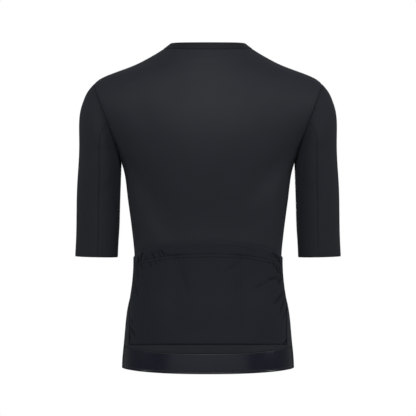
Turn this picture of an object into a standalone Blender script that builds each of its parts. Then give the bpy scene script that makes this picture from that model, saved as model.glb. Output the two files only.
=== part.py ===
"""A short-sleeved cycling jersey, filled out as if worn, as separate cut pieces of cloth.

Run it with: blender --background --python part.py

Metres, +Z up. The front, with its zip, faces -Y and the wearer's left is +X. The origin is midway
between the two sides of the neck, 3 mm above the points where the shoulder seams meet the
collar. That is where a wearer's shoulders hold the jersey up.

The body of the jersey is one smooth form. Each level section of it is a rounded oval, and the
table BODY_LEVELS gives the ovals' sizes from the hem to the collar. Each cut piece is a stretch
of that form between its seams, made as a wall whose outer face lies on the form. The sleeves are
rings that start at the armhole, where they tilt with the shoulder, and end level at the cuff.
"""

import math
from collections import namedtuple

import bmesh
import bpy
import numpy as np
from mathutils import Matrix, Vector

# ---------------------------------------------------------------------------------------------
# Driving dimensions, in metres
# ---------------------------------------------------------------------------------------------

CLOTH = 0.0012  # the knitted body cloth
BAND_CLOTH = 0.0014  # the doubled elastic of the hem band
COLLAR_CLOTH = 0.0018  # the folded collar
POCKET_CLOTH = 0.0010  # the light cloth of the pocket panel
SEAM_GAP = 0.0003  # between two pieces at a seam

# One row for each level section of the body. half_width is at the side, back and front are the
# depths from the side line to the centre back and centre front, and power is 2 for an ellipse
# and more for a squarer oval.
BodyLevel = namedtuple("BodyLevel", "z half_width back front power")
BODY_LEVELS = [
    BodyLevel(-0.640, 0.1682, 0.1115, 0.1085, 2.35),
    BodyLevel(-0.600, 0.1664, 0.1090, 0.1075, 2.35),
    BodyLevel(-0.566, 0.1631, 0.1050, 0.1060, 2.35),
    BodyLevel(-0.535, 0.1604, 0.1005, 0.1045, 2.35),
    BodyLevel(-0.504, 0.1562, 0.0955, 0.1030, 2.35),
    BodyLevel(-0.473, 0.1491, 0.0905, 0.1015, 2.35),
    BodyLevel(-0.440, 0.1441, 0.0868, 0.1005, 2.35),
    BodyLevel(-0.406, 0.1431, 0.0850, 0.1005, 2.35),
    BodyLevel(-0.370, 0.1463, 0.0862, 0.1020, 2.35),
    BodyLevel(-0.330, 0.1512, 0.0910, 0.1055, 2.35),
    BodyLevel(-0.290, 0.1566, 0.0975, 0.1105, 2.35),
    BodyLevel(-0.255, 0.1608, 0.1035, 0.1150, 2.36),
    BodyLevel(-0.238, 0.1642, 0.1060, 0.1168, 2.37),
    BodyLevel(-0.225, 0.1683, 0.1075, 0.1177, 2.38),
    BodyLevel(-0.211, 0.1741, 0.1087, 0.1183, 2.40),
    BodyLevel(-0.195, 0.1825, 0.1094, 0.1184, 2.43),
    BodyLevel(-0.172, 0.1977, 0.1091, 0.1172, 2.46),
    BodyLevel(-0.145, 0.2165, 0.1063, 0.1135, 2.43),
    BodyLevel(-0.120, 0.2308, 0.1016, 0.1075, 2.32),
    BodyLevel(-0.098, 0.2360, 0.0962, 0.1000, 2.16),
    BodyLevel(-0.083, 0.2312, 0.0917, 0.0930, 2.03),
    BodyLevel(-0.070, 0.2216, 0.0872, 0.0856, 1.95),
    BodyLevel(-0.0585, 0.2062, 0.0828, 0.0780, 1.90),
    BodyLevel(-0.047, 0.1778, 0.0779, 0.0700, 1.90),
    BodyLevel(-0.034, 0.1435, 0.0720, 0.0600, 1.90),
    BodyLevel(-0.022, 0.1195, 0.0660, 0.0515, 1.92),
    BodyLevel(-0.010, 0.0985, 0.0592, 0.0440, 1.95),
    BodyLevel(0.000, 0.0835, 0.0550, 0.0390, 2.00),
    BodyLevel(0.012, 0.0690, 0.0505, 0.0350, 2.00),
    BodyLevel(0.030, 0.0520, 0.0450, 0.0300, 2.00),
]

# Where the side seam lies: y is how far behind the side line it runs.
SideSeam = namedtuple("SideSeam", "z y")
SIDE_SEAM = [
    SideSeam(-0.640, 0.056),
    SideSeam(-0.580, 0.051),
    SideSeam(-0.530, 0.041),
    SideSeam(-0.497, 0.027),
    SideSeam(-0.472, 0.014),
    SideSeam(-0.440, 0.004),
    SideSeam(-0.400, 0.000),
    SideSeam(-0.300, 0.000),
    SideSeam(-0.225, 0.000),
]

# The neck seam and the collar's top edge: their heights at the side, centre back and centre front.
Level = namedtuple("Level", "side back front")
NECK_SEAM = Level(-0.0030, -0.0078, -0.0500)
COLLAR_TOP = Level(0.0087, 0.0060, -0.0365)
HEM_SEAM = Level(-0.580, -0.587, -0.578)
HEM = Level(-0.6215, -0.6243, -0.6195)

# The armhole is a closed loop in a plane that tilts with the shoulder.
ARMHOLE_TOP_Z = -0.070
ARMHOLE_FOOT_Z = -0.225
ARMHOLE_BOW = 0.0026  # how far its lower half curves in towards the body

# One row for each ring of the sleeve. outer and inner are the ring's points furthest from and
# nearest to the body, seen from the front, and back and front are its depths.
SleeveRing = namedtuple("SleeveRing", "outer_x outer_z inner_x inner_z back front")
SLEEVE_RINGS = [
    SleeveRing(0.2220, -0.0701, 0.1686, -0.2252, 0.0630, 0.0650),
    SleeveRing(0.2345, -0.0855, 0.1686, -0.2280, 0.0640, 0.0660),
    SleeveRing(0.2428, -0.1035, 0.1688, -0.2325, 0.0645, 0.0665),
    SleeveRing(0.2490, -0.1250, 0.1690, -0.2390, 0.0640, 0.0665),
    SleeveRing(0.2512, -0.1520, 0.1694, -0.2500, 0.0620, 0.0650),
    SleeveRing(0.2509, -0.1850, 0.1700, -0.2670, 0.0590, 0.0625),
    SleeveRing(0.2521, -0.2230, 0.1708, -0.2900, 0.0555, 0.0595),
    SleeveRing(0.2550, -0.2680, 0.1716, -0.3190, 0.0520, 0.0560),
    SleeveRing(0.2562, -0.3160, 0.1726, -0.3500, 0.0488, 0.0530),
    SleeveRing(0.2569, -0.3620, 0.1745, -0.3800, 0.0458, 0.0505),
    SleeveRing(0.2590, -0.4060, 0.1757, -0.4080, 0.0430, 0.0480),
]
SLEEVE_SEAM_LEAN = math.radians(7)  # how far the sleeve seam has turned towards the body at the cuff

# The pocket panel lies on the back panel between the side seams. It has three pockets, side by
# side, and an elastic channel along its top. Each line gives heights at the centre and the sides.
PocketLine = namedtuple("PocketLine", "side back")
POCKET_TOP = PocketLine(-0.4070, -0.3755)
POCKET_STITCH = PocketLine(-0.4260, -0.4025)
POCKET_FOOT = PocketLine(-0.5735, -0.5680)
POCKET_GAP = 0.0007  # from the back panel where the pocket panel is sewn down
POCKET_LINE_POWER = 0.7
POCKET_DIVIDERS = (0.0595, -0.0640)  # the lines of stitching between two pockets
POCKET_STAND_OFF = 0.0020  # how far the middle of an empty pocket stands off the back
POCKET_FOOT_STAND_OFF = 0.0010
DIVIDER_HOLD = 0.030  # how far from a divider the cloth is free to stand off
SEAM_HOLD = (0.020, 0.070)  # how far from a side seam it starts to, and is free to

# The elastic channel's gathers. run is the distance along the cloth from the side seam.
Gather = namedtuple("Gather", "side run depth half_width")
GATHERS = [
    Gather("left", 0.030, 0.0008, 0.0042),
    Gather("left", 0.043, 0.0011, 0.0036),
    Gather("left", 0.056, 0.0013, 0.0034),
    Gather("left", 0.068, 0.0012, 0.0034),
    Gather("left", 0.080, 0.0011, 0.0034),
    Gather("left", 0.091, 0.0009, 0.0034),
    Gather("left", 0.102, 0.0007, 0.0034),
    Gather("right", 0.016, 0.0008, 0.0038),
    Gather("right", 0.028, 0.0011, 0.0034),
    Gather("right", 0.039, 0.0013, 0.0032),
    Gather("right", 0.050, 0.0012, 0.0032),
    Gather("right", 0.061, 0.0011, 0.0032),
    Gather("right", 0.071, 0.0009, 0.0032),
    Gather("right", 0.080, 0.0007, 0.0032),
]

# The main creases of the pocket panel, as soft ridges between two points seen from behind.
Crease = namedtuple("Crease", "x0 z0 x1 z1 height half_width")
CREASES = [
    Crease(0.0590, -0.4260, 0.0340, -0.4900, 0.0011, 0.0085),
    Crease(-0.0610, -0.4260, -0.0380, -0.4730, 0.0011, 0.0085),
    Crease(-0.1400, -0.4450, -0.0910, -0.4610, 0.0012, 0.0080),
    Crease(0.1480, -0.5150, 0.1380, -0.5640, 0.0009, 0.0075),
    Crease(-0.1500, -0.4700, -0.1320, -0.4870, 0.0008, 0.0070),
]

# Columns of the pocket panel's mesh, as shares of its width: fine at the gathers.
ColumnBand = namedtuple("ColumnBand", "share columns")
POCKET_COLUMNS = [
    ColumnBand(0.06, 2),
    ColumnBand(0.30, 26),
    ColumnBand(0.765, 21),
    ColumnBand(0.975, 25),
    ColumnBand(1.0, 1),
]
POCKET_ROWS = 10  # below the line of stitching
CHANNEL_ROWS = 3

# The zip: closed, from the hem to the collar. Depths are measured in from the cloth's outer face.
ZIP_OPENING = 0.0033  # from the centre to each front edge
CHAIN_HALF_WIDTH = 0.0025
CHAIN_PROUD = 0.0004
CHAIN_BACK = 0.0014
TAPE_FRONT = 0.0018
TAPE_BACK = 0.0024
TAPE_EDGE = 0.0006  # from the centre to each tape's inner edge
TAPE_WIDTH = 0.0125
TAPE_SPREAD = 0.0022  # how far the slider parts the tapes above it
ZIP_END_GAP = 0.0030  # from the tapes' ends to the hem and the collar's top

SLIDER_Z = -0.0437  # the middle of the slider, on the centre front
TAPES_PART = (SLIDER_Z - 0.002, SLIDER_Z, SLIDER_Z + 0.002, SLIDER_Z + 0.004)
SLIDER_LENGTH = 0.0084
SLIDER_WIDTH = 0.0074
SLIDER_PLATE = 0.0009
SLIDER_LIFT = 0.0008  # from the cloth's outer face to the front plate
POST_WIDTH = 0.0022
POST_LENGTH = 0.0020
BAIL_WIDTH = 0.0016
BAIL_LENGTH = 0.0060
BAIL_HEIGHT = 0.0028
BAIL_BAR = 0.0009

TAB_LENGTH = 0.0240
TAB_WIDTH = 0.0058
TAB_PLATE = 0.0009
TAB_WINDOW_WIDTH = 0.0026
TAB_WINDOW_LENGTH = 0.0058
TAB_BAR = 0.0011
TAB_TIP_GAP = 0.0010  # from the tab's tip to the chain

# Mesh steps
BACK_COLUMNS = 24
FRONT_COLUMNS = 12
ARMHOLE_STEPS = 12
LOWER_ROWS = 13
SHOULDER_ROWS = 6
SLEEVE_ROWS = 14


# ---------------------------------------------------------------------------------------------
# Smooth curves through the tables
# ---------------------------------------------------------------------------------------------


def spline(knots, values):
    """A natural cubic spline through the table's rows, as a function of numbers or arrays."""
    knots = np.asarray(knots, float)
    values = np.asarray(values, float)
    count = len(knots)
    step = np.diff(knots)
    slope = np.diff(values) / step
    system = np.eye(count)
    right = np.zeros(count)
    for i in range(1, count - 1):
        system[i, i - 1 : i + 2] = step[i - 1], 2 * (step[i - 1] + step[i]), step[i]
        right[i] = 6 * (slope[i] - slope[i - 1])
    bend = np.linalg.solve(system, right)

    def value(at):
        at = np.asarray(at, float)
        i = np.clip(np.searchsorted(knots, at) - 1, 0, count - 2)
        left = at - knots[i]
        rest = knots[i + 1] - at
        return (
            (bend[i] * rest**3 + bend[i + 1] * left**3) / (6 * step[i])
            + (values[i] / step[i] - bend[i] * step[i] / 6) * rest
            + (values[i + 1] / step[i] - bend[i + 1] * step[i] / 6) * left
        )

    return value


def smoothstep(low, high, x):
    t = np.clip((np.asarray(x, float) - low) / (high - low), 0.0, 1.0)
    return t * t * (3 - 2 * t)


def column_splines(rows, key):
    """A spline of each column of a table over its column named key."""
    knots = [getattr(row, key) for row in rows]
    return {
        name: spline(knots, [getattr(row, name) for row in rows])
        for name in rows[0]._fields
        if name != key
    }


BODY = column_splines(BODY_LEVELS, "z")
SEAM_Y = column_splines(SIDE_SEAM, "z")["y"]


# ---------------------------------------------------------------------------------------------
# The body form. angle is 0 at the wearer's left side, 90 degrees at the centre back, 180 at the
# right side and -90 at the centre front.
# ---------------------------------------------------------------------------------------------


def depth_at(angle, z):
    return np.where(np.sin(angle) >= 0, BODY["back"](z), BODY["front"](z))


def body_point(angle, z):
    """The point of the form at an angle and a height."""
    angle, z = np.broadcast_arrays(np.asarray(angle, float), np.asarray(z, float))
    root = 2.0 / BODY["power"](z)
    across, along = np.cos(angle), np.sin(angle)
    x = BODY["half_width"](z) * np.sign(across) * np.abs(across) ** root
    y = depth_at(angle, z) * np.sign(along) * np.abs(along) ** root
    return np.stack([x, y, z], axis=-1)


def body_normal(angle, z):
    """The outward direction there, from the gradient of the oval's equation."""
    angle, z = np.broadcast_arrays(np.asarray(angle, float), np.asarray(z, float))
    point = body_point(angle, z)
    x, y = point[..., 0], point[..., 1]

    def oval(height):
        power = BODY["power"](height)
        width = BODY["half_width"](height)
        return np.abs(x / width) ** power + np.abs(y / depth_at(angle, height)) ** power

    power = BODY["power"](z)
    width = BODY["half_width"](z)
    depth = depth_at(angle, z)
    step = 0.0005
    normal = np.stack(
        [
            power * np.sign(x) * np.abs(x / width) ** (power - 1) / width,
            power * np.sign(y) * np.abs(y / depth) ** (power - 1) / depth,
            (oval(z + step) - oval(z - step)) / (2 * step),
        ],
        axis=-1,
    )
    return normal / np.linalg.norm(normal, axis=-1, keepdims=True)


def angle_at_x(x, z):
    """The angle, from the left side, at which a level section reaches this x."""
    share = np.clip(np.abs(x) / BODY["half_width"](z), 0.0, 1.0)
    return np.arccos(share ** (BODY["power"](z) / 2))


def angle_at_y(y, z):
    """The angle near the left side at which a level section is this far behind the side line."""
    share = np.clip(np.abs(y) / BODY["back"](z), 0.0, 1.0)
    return np.sign(y) * np.arcsin(share ** (BODY["power"](z) / 2))


# ---------------------------------------------------------------------------------------------
# Rows of the body: hem seam, up the side seam, round the armhole, along the shoulder to the neck
# ---------------------------------------------------------------------------------------------


def armhole_xz(turn):
    """x, z on the armhole: turn is 0 at the shoulder and 180 degrees at the underarm."""
    share = (1 - np.cos(turn)) / 2
    top, foot = BODY["half_width"](ARMHOLE_TOP_Z), BODY["half_width"](ARMHOLE_FOOT_Z)
    x = top + (foot - top) * share - ARMHOLE_BOW * np.sin(math.pi * share**2)
    z = ARMHOLE_TOP_Z + (ARMHOLE_FOOT_Z - ARMHOLE_TOP_Z) * share
    return x, z


def armhole_turns():
    return np.linspace(math.pi, 0.0, ARMHOLE_STEPS + 1)


BodyRow = namedtuple("BodyRow", "side_z back_angle front_angle back_dip front_dip")


def body_rows():
    """The rows that the back and the fronts share. At each, the back starts at back_angle and the
    front at front_angle, and the row's height changes by the dips at the centre back and front."""
    rows = []
    for share in np.linspace(0, 1, LOWER_ROWS + 1)[:-1]:
        z = HEM_SEAM.side + (ARMHOLE_FOOT_Z - HEM_SEAM.side) * share
        fade = (1 - share) ** 2
        angle = float(angle_at_y(SEAM_Y(z), z))
        rows.append(
            BodyRow(
                z,
                angle,
                angle,
                (HEM_SEAM.back - HEM_SEAM.side) * fade,
                (HEM_SEAM.front - HEM_SEAM.side) * fade,
            )
        )
    above = []
    for turn in armhole_turns():
        x, z = armhole_xz(turn)
        angle = float(angle_at_x(x, z))
        above.append((z, angle))
    for share in np.linspace(0, 1, SHOULDER_ROWS + 1)[1:]:
        above.append((ARMHOLE_TOP_Z * (1 - share) + NECK_SEAM.side * share, 0.0))
    for z, angle in above:
        climb = (z - ARMHOLE_FOOT_Z) / (NECK_SEAM.side - ARMHOLE_FOOT_Z)
        rows.append(
            BodyRow(
                z,
                angle,
                -angle,
                (NECK_SEAM.back - NECK_SEAM.side) * climb**1.5,
                (NECK_SEAM.front - NECK_SEAM.side) * climb**1.5,
            )
        )
    return rows


def row_height(row, angle, power=1.0):
    """The height of a row at an angle: side_z at its start, with the dip reached at the centre.
    A power under 1 makes the row flatter in the middle and steeper at its ends."""
    behind = np.sin(angle) >= 0
    start = np.where(behind, row.back_angle, row.front_angle)
    dip = np.where(behind, row.back_dip, row.front_dip)
    low = np.sin(start) ** 2
    return row.side_z + dip * np.clip((np.sin(angle) ** 2 - low) / (1 - low), 0.0, 1.0) ** power


def spaced_angles(start, end, shares, height):
    """Angles from start to end at the given shares of a row's run over the cloth, and the runs
    themselves. height gives the row's z at an angle."""
    dense = np.linspace(start, end, 600)
    points = body_point(dense, height(dense))
    run = np.concatenate([[0], np.cumsum(np.linalg.norm(np.diff(points, axis=0), axis=1))])
    return np.interp(shares * run[-1], run, dense), shares * run[-1]


def even_angles(start, end, columns, height):
    return spaced_angles(start, end, np.linspace(0, 1, columns + 1), height)[0]


def pulled_in(points, gap=SEAM_GAP / 2):
    """A grid of points with each edge drawn in by gap, so that pieces stay apart at their seams."""
    out = points.copy()
    for edge, inner in ((0, 1), (-1, -2)):
        for axis in (0, 1):
            rim = np.take(out, edge, axis=axis)
            step = np.take(out, inner, axis=axis) - rim
            step *= gap / np.linalg.norm(step, axis=-1, keepdims=True)
            if axis == 0:
                out[edge] = rim + step
            else:
                out[:, edge] = rim + step
    return out


# ---------------------------------------------------------------------------------------------
# Walls
# ---------------------------------------------------------------------------------------------


def material(name, colour, roughness, metallic=0.0):
    made = bpy.data.materials.new(name)
    made.use_nodes = True
    shader = made.node_tree.nodes["Principled BSDF"]
    shader.inputs["Base Color"].default_value = (*colour, 1.0)
    shader.inputs["Roughness"].default_value = roughness
    shader.inputs["Metallic"].default_value = metallic
    return made


def add_object(name, points, faces, finish):
    mesh = bpy.data.meshes.new(name)
    mesh.from_pydata([tuple(p) for p in points], [], faces)
    mesh.materials.append(finish)
    mesh.shade_smooth()
    mesh.set_sharp_from_angle(angle=math.radians(40))
    made = bpy.data.objects.new(name, mesh)
    bpy.context.scene.collection.objects.link(made)
    return made


def wall(name, outer, inner, finish):
    """A closed wall between two grids of points, rows by columns. The outer grid's columns run
    clockwise seen from outside with its rows running up, or both the other way round."""
    rows, columns = outer.shape[:2]
    count = rows * columns
    points = np.concatenate([outer.reshape(-1, 3), inner.reshape(-1, 3)])

    def at(row, column, layer=0):
        return layer * count + row * columns + column

    faces = []
    for r in range(rows - 1):
        for c in range(columns - 1):
            faces.append((at(r, c), at(r, c + 1), at(r + 1, c + 1), at(r + 1, c)))
            faces.append((at(r, c, 1), at(r + 1, c, 1), at(r + 1, c + 1, 1), at(r, c + 1, 1)))
    for c in range(columns - 1):
        faces.append((at(0, c, 1), at(0, c + 1, 1), at(0, c + 1), at(0, c)))
        top = rows - 1
        faces.append((at(top, c), at(top, c + 1), at(top, c + 1, 1), at(top, c, 1)))
    for r in range(rows - 1):
        faces.append((at(r, 0), at(r + 1, 0), at(r + 1, 0, 1), at(r, 0, 1)))
        end = columns - 1
        faces.append((at(r, end, 1), at(r + 1, end, 1), at(r + 1, end), at(r, end)))
    volume = signed_volume(points, faces)
    if volume < 0:
        faces = [face[::-1] for face in faces]
    return add_object(name, points, faces, finish)


def signed_volume(points, faces):
    total = 0.0
    for a, b, c, d in faces:
        total += np.dot(points[a], np.cross(points[b], points[c]))
        total += np.dot(points[a], np.cross(points[c], points[d]))
    return total


def mirrored(points):
    return points * np.array([-1.0, 1.0, 1.0])


# ---------------------------------------------------------------------------------------------
# Back, fronts, collar and hem band
# ---------------------------------------------------------------------------------------------


def build_back(finish):
    outer, normals = [], []
    for row in body_rows():
        angles = even_angles(
            row.back_angle, math.pi - row.back_angle, BACK_COLUMNS, lambda a: row_height(row, a)
        )
        heights = row_height(row, angles)
        outer.append(body_point(angles, heights))
        normals.append(body_normal(angles, heights))
    outer = pulled_in(np.array(outer))
    return wall("back_panel", outer, outer - CLOTH * np.array(normals), finish)


def zip_angle(row, edge):
    """The angle near the centre front at which a row reaches x = edge."""
    z = row_height(row, np.array(-math.pi / 2))
    return -float(angle_at_x(edge, z))


def build_fronts(finish):
    outer, normals = [], []
    for row in body_rows():
        angles = even_angles(
            row.front_angle, zip_angle(row, ZIP_OPENING), FRONT_COLUMNS, lambda a: row_height(row, a)
        )
        heights = row_height(row, angles)
        outer.append(body_point(angles, heights))
        normals.append(body_normal(angles, heights))
    outer = pulled_in(np.array(outer))
    inner = outer - CLOTH * np.array(normals)
    wall("front_panel_left", outer, inner, finish)
    wall("front_panel_right", mirrored(outer), mirrored(inner), finish)


def line_row(line):
    """A row of the body along a line that is given by its heights at the side, back and front."""
    seam = 0.0
    if line.side < ARMHOLE_FOOT_Z:
        seam = float(angle_at_y(SEAM_Y(line.side), line.side))
    return BodyRow(line.side, seam, seam, line.back - line.side, line.front - line.side)


def lines_between(lower, upper, rows):
    for share in np.linspace(0, 1, rows + 1):
        yield Level(*(low + (high - low) * share for low, high in zip(lower, upper)))


def band_grid(lower, upper, rows, lift=0.0):
    """Outer points and normals of a band round the whole body between two lines, open at the
    zip. Its columns meet those of the back and the fronts."""
    outer, normals = [], []
    for line in lines_between(lower, upper, rows):
        row = line_row(line)

        def height(angle, row=row):
            return row_height(row, angle)

        front = even_angles(zip_angle(row, ZIP_OPENING), row.back_angle, FRONT_COLUMNS, height)
        back = even_angles(row.back_angle, math.pi / 2, BACK_COLUMNS // 2, height)
        half = np.concatenate([front[:-1], back])
        angles = np.concatenate([half, math.pi - half[-2::-1]])
        normal = body_normal(angles, height(angles))
        outer.append(body_point(angles, height(angles)) + lift * normal)
        normals.append(normal)
    return np.array(outer), np.array(normals)


def build_collar(finish):
    outer, normals = band_grid(NECK_SEAM, COLLAR_TOP, rows=3, lift=0.0003)
    outer = pulled_in(outer)
    wall("collar", outer, outer - COLLAR_CLOTH * normals, finish)


def build_hem_band(finish):
    outer, normals = band_grid(HEM, HEM_SEAM, rows=3)
    outer = pulled_in(outer)
    wall("hem_band", outer, outer - BAND_CLOTH * normals, finish)


# ---------------------------------------------------------------------------------------------
# Sleeves
# ---------------------------------------------------------------------------------------------

SLEEVE = {
    name: spline(range(len(SLEEVE_RINGS)), [getattr(ring, name) for ring in SLEEVE_RINGS])
    for name in SleeveRing._fields
}
SLEEVE_END = len(SLEEVE_RINGS) - 1
CAP_REACH = 3.0  # rings over which the sleeve leaves the armhole's own curve
ARMHOLE_STEP = np.array([SEAM_GAP, 0.0, -SEAM_GAP / 3])


def armhole_point(turn):
    """The point of the body's form at a turn round the left armhole."""
    x, z = armhole_xz(turn)
    return body_point(angle_at_x(x, z) * np.where(np.sin(turn) >= 0, 1.0, -1.0), z)


def ring_point(turn, ring):
    """A point of one of the sleeve's oval rings. turn is 0 at the outside, 90 degrees at the back
    and 180 beside the body."""
    share = (1 - np.cos(turn)) / 2
    x = SLEEVE["outer_x"](ring) * (1 - share) + SLEEVE["inner_x"](ring) * share
    z = SLEEVE["outer_z"](ring) * (1 - share) + SLEEVE["inner_z"](ring) * share
    depth = np.where(np.sin(turn) >= 0, SLEEVE["back"](ring), SLEEVE["front"](ring))
    return np.stack([x, depth * np.sin(turn), z], axis=-1)


def sleeve_point(turn, ring):
    """A point of the left sleeve. Its rings leave the armhole's own curve as ring goes from 0 at
    the armhole to SLEEVE_END at the cuff."""
    turn, ring = np.broadcast_arrays(np.asarray(turn, float), np.asarray(ring, float))
    lean = SLEEVE_SEAM_LEAN * ring / SLEEVE_END
    plain = ring_point(turn + lean * np.sin(turn), ring)
    to_armhole = armhole_point(turn) + ARMHOLE_STEP - ring_point(turn, np.zeros_like(ring))
    return plain + to_armhole * (1 - smoothstep(0.0, CAP_REACH, ring))[..., None]


def sleeve_normal(turn, ring):
    step = 0.02
    ring = np.asarray(ring, float)
    low, high = np.clip(ring - step, 0, SLEEVE_END), np.clip(ring + step, 0, SLEEVE_END)
    down = sleeve_point(turn, high) - sleeve_point(turn, low)
    around = sleeve_point(turn + step, ring) - sleeve_point(turn - step, ring)
    normal = np.cross(down, around)
    return normal / np.linalg.norm(normal, axis=-1, keepdims=True)


def build_sleeves(finish):
    """Each sleeve is one piece that starts and ends at the seam down the back of the arm."""
    turns = math.pi / 2 + np.linspace(0, 2 * math.pi, 2 * ARMHOLE_STEPS + 1)
    rings = SLEEVE_END * np.linspace(0, 1, SLEEVE_ROWS + 1) ** 1.1
    turn, ring = np.meshgrid(turns, rings)
    outer = pulled_in(sleeve_point(turn, ring))
    inner = outer - CLOTH * sleeve_normal(turn, ring)
    wall("sleeve_left", outer, inner, finish)
    wall("sleeve_right", mirrored(outer), mirrored(inner), finish)


# ---------------------------------------------------------------------------------------------
# Pocket panel
# ---------------------------------------------------------------------------------------------


def column_shares(bands):
    shares = [0.0]
    for band in bands:
        shares.extend(np.linspace(shares[-1], band.share, band.columns + 1)[1:])
    return np.array(shares)


def between_lines(low, high, share):
    return PocketLine(*(a + (b - a) * share for a, b in zip(low, high)))


def pocket_levels():
    """The panel's rows: its line, and level, which is 0 at the foot, 1 at the stitching and 2 at
    the top."""
    for share in np.linspace(0, 1, POCKET_ROWS + 1):
        yield between_lines(POCKET_FOOT, POCKET_STITCH, share), share
    for share in np.linspace(0, 1, CHANNEL_ROWS + 1)[1:]:
        yield between_lines(POCKET_STITCH, POCKET_TOP, share), 1 + share


def bump(distance, half_width):
    return np.exp(-((distance / half_width) ** 2))


def crease_lift(x, z):
    lift = np.zeros_like(x)
    for crease in CREASES:
        start = np.array([crease.x0, crease.z0])
        along = np.array([crease.x1, crease.z1]) - start
        length = np.linalg.norm(along)
        offset = np.stack([x, z], axis=-1) - start
        share = offset @ along / length**2
        across = np.abs(offset[..., 0] * along[1] - offset[..., 1] * along[0]) / length
        beyond = np.maximum(np.abs(share - 0.5) - 0.35, 0.0) * length
        lift += crease.height * bump(np.hypot(across, beyond), crease.half_width)
    return lift


def pocket_lift(points, runs, level):
    """How far the panel's inner face stands off the back along one of its rows. runs are the
    distances of its points from the left side seam."""
    x, z = points[:, 0], points[:, 2]
    to_seam = np.minimum(runs, runs[-1] - runs)
    to_divider = np.min([np.abs(x - divider) for divider in POCKET_DIVIDERS], axis=0)
    below_stitching = 1 - smoothstep(1.0, 1.3, level)
    sewn = (1 - smoothstep(0.0, DIVIDER_HOLD, to_divider)) * below_stitching
    stitched = 0.5 * bump(level - 1, 0.12)
    stand_off = smoothstep(*SEAM_HOLD, to_seam) * (1 - sewn) * smoothstep(0.0, 0.45, level) * (1 - stitched)
    at_foot = (1 - smoothstep(0.0, 0.2, level)) * smoothstep(0.0, 0.01, to_seam)
    gathered = np.zeros_like(x)
    for gather in GATHERS:
        run = runs if gather.side == "left" else runs[-1] - runs
        gathered += gather.depth * bump(run - gather.run, gather.half_width)
    lift = POCKET_STAND_OFF * stand_off + POCKET_FOOT_STAND_OFF * at_foot
    lift += gathered * smoothstep(0.8, 1.1, level)
    lift += crease_lift(x, z) * smoothstep(0.0, SEAM_HOLD[0], to_seam)
    return POCKET_GAP + lift


def build_pocket_panel(finish):
    shares = column_shares(POCKET_COLUMNS)
    outer, inner = [], []
    for line, level in pocket_levels():
        seam = float(angle_at_y(SEAM_Y(line.side), line.side))
        row = BodyRow(line.side, seam, seam, line.back - line.side, 0.0)

        def height(angle, row=row):
            return row_height(row, angle, POCKET_LINE_POWER)

        angles, runs = spaced_angles(seam, math.pi - seam, shares, height)
        heights = height(angles)
        points, normals = body_point(angles, heights), body_normal(angles, heights)
        lift = pocket_lift(points, runs, level)[:, None]
        inner.append(points + lift * normals)
        outer.append(points + (lift + POCKET_CLOTH) * normals)
    wall("pocket_panel", pulled_in(np.array(outer)), pulled_in(np.array(inner)), finish)


# ---------------------------------------------------------------------------------------------
# Zip
# ---------------------------------------------------------------------------------------------


def zip_rows():
    """The body's rows from the hem to the collar's top."""
    rows = [line_row(line) for line in lines_between(HEM, HEM_SEAM, 3)]
    rows += body_rows()[1:]
    rows += [line_row(line) for line in lines_between(NECK_SEAM, COLLAR_TOP, 3)][1:]
    return rows


def front_height(row):
    return float(row_height(row, np.array(-math.pi / 2)))


def zip_strip(heights, edges, depth):
    """Points on the front at each height, between two distances from the centre, at a depth."""
    grid = []
    for z in heights:
        x = np.array(edges(z))
        angle = -angle_at_x(x, z)
        angle = np.where(x < 0, -math.pi - angle, angle)
        grid.append(body_point(angle, z) - depth * body_normal(angle, z))
    return np.array(grid)


def zip_heights(low, high, more=()):
    """The heights of the rows between low and high, which are rows themselves."""
    heights = [front_height(row) for row in zip_rows()] + list(more)
    apart = 0.001
    return [low] + sorted(z for z in heights if low + apart < z < high - apart) + [high]


def tape_edges(z):
    """The distances of a tape's columns from the centre: above the slider's middle the tapes part."""
    inner = TAPE_EDGE + TAPE_SPREAD * float(smoothstep(TAPES_PART[0], TAPES_PART[-1], z))
    return inner, (inner + TAPE_EDGE + TAPE_WIDTH) / 2, TAPE_EDGE + TAPE_WIDTH


def build_tapes(finish):
    heights = zip_heights(HEM.front + ZIP_END_GAP, COLLAR_TOP.front - ZIP_END_GAP, TAPES_PART)
    outer = zip_strip(heights, tape_edges, TAPE_FRONT)
    inner = zip_strip(heights, tape_edges, TAPE_BACK)
    wall("zip_tape_left", outer, inner, finish)
    wall("zip_tape_right", mirrored(outer), mirrored(inner), finish)


def build_chain(finish):
    heights = zip_heights(HEM.front + ZIP_END_GAP, SLIDER_Z + 0.0005)

    def edges(z):
        return -CHAIN_HALF_WIDTH, 0.0, CHAIN_HALF_WIDTH

    outer = zip_strip(heights, edges, -CHAIN_PROUD)
    wall("zip_chain", outer, zip_strip(heights, edges, CHAIN_BACK), finish)


def slider_frame():
    """A matrix at the slider: X to the wearer's right, Y out of the cloth, Z up along the zip."""
    angle = -math.pi / 2
    low, high = body_point(angle, SLIDER_Z - 0.004), body_point(angle, SLIDER_Z + 0.004)
    up = Vector(high - low).normalized()
    side = Vector((-1, 0, 0))
    out = up.cross(side)
    frame = Matrix((side, out, up)).transposed().to_4x4()
    frame.translation = Vector(body_point(angle, SLIDER_Z))
    return frame


def prism(name, outline, low, high):
    """A solid from an outline of x, z points, between two depths along Y."""
    form = bmesh.new()
    face = form.faces.new([form.verts.new((x, low, z)) for x, z in outline])
    grown = bmesh.ops.extrude_face_region(form, geom=[face])
    moved = [v for v in grown["geom"] if isinstance(v, bmesh.types.BMVert)]
    bmesh.ops.translate(form, verts=moved, vec=(0, high - low, 0))
    bmesh.ops.recalc_face_normals(form, faces=form.faces)
    mesh = bpy.data.meshes.new(name)
    form.to_mesh(mesh)
    form.free()
    made = bpy.data.objects.new(name, mesh)
    bpy.context.scene.collection.objects.link(made)
    return made


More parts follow.
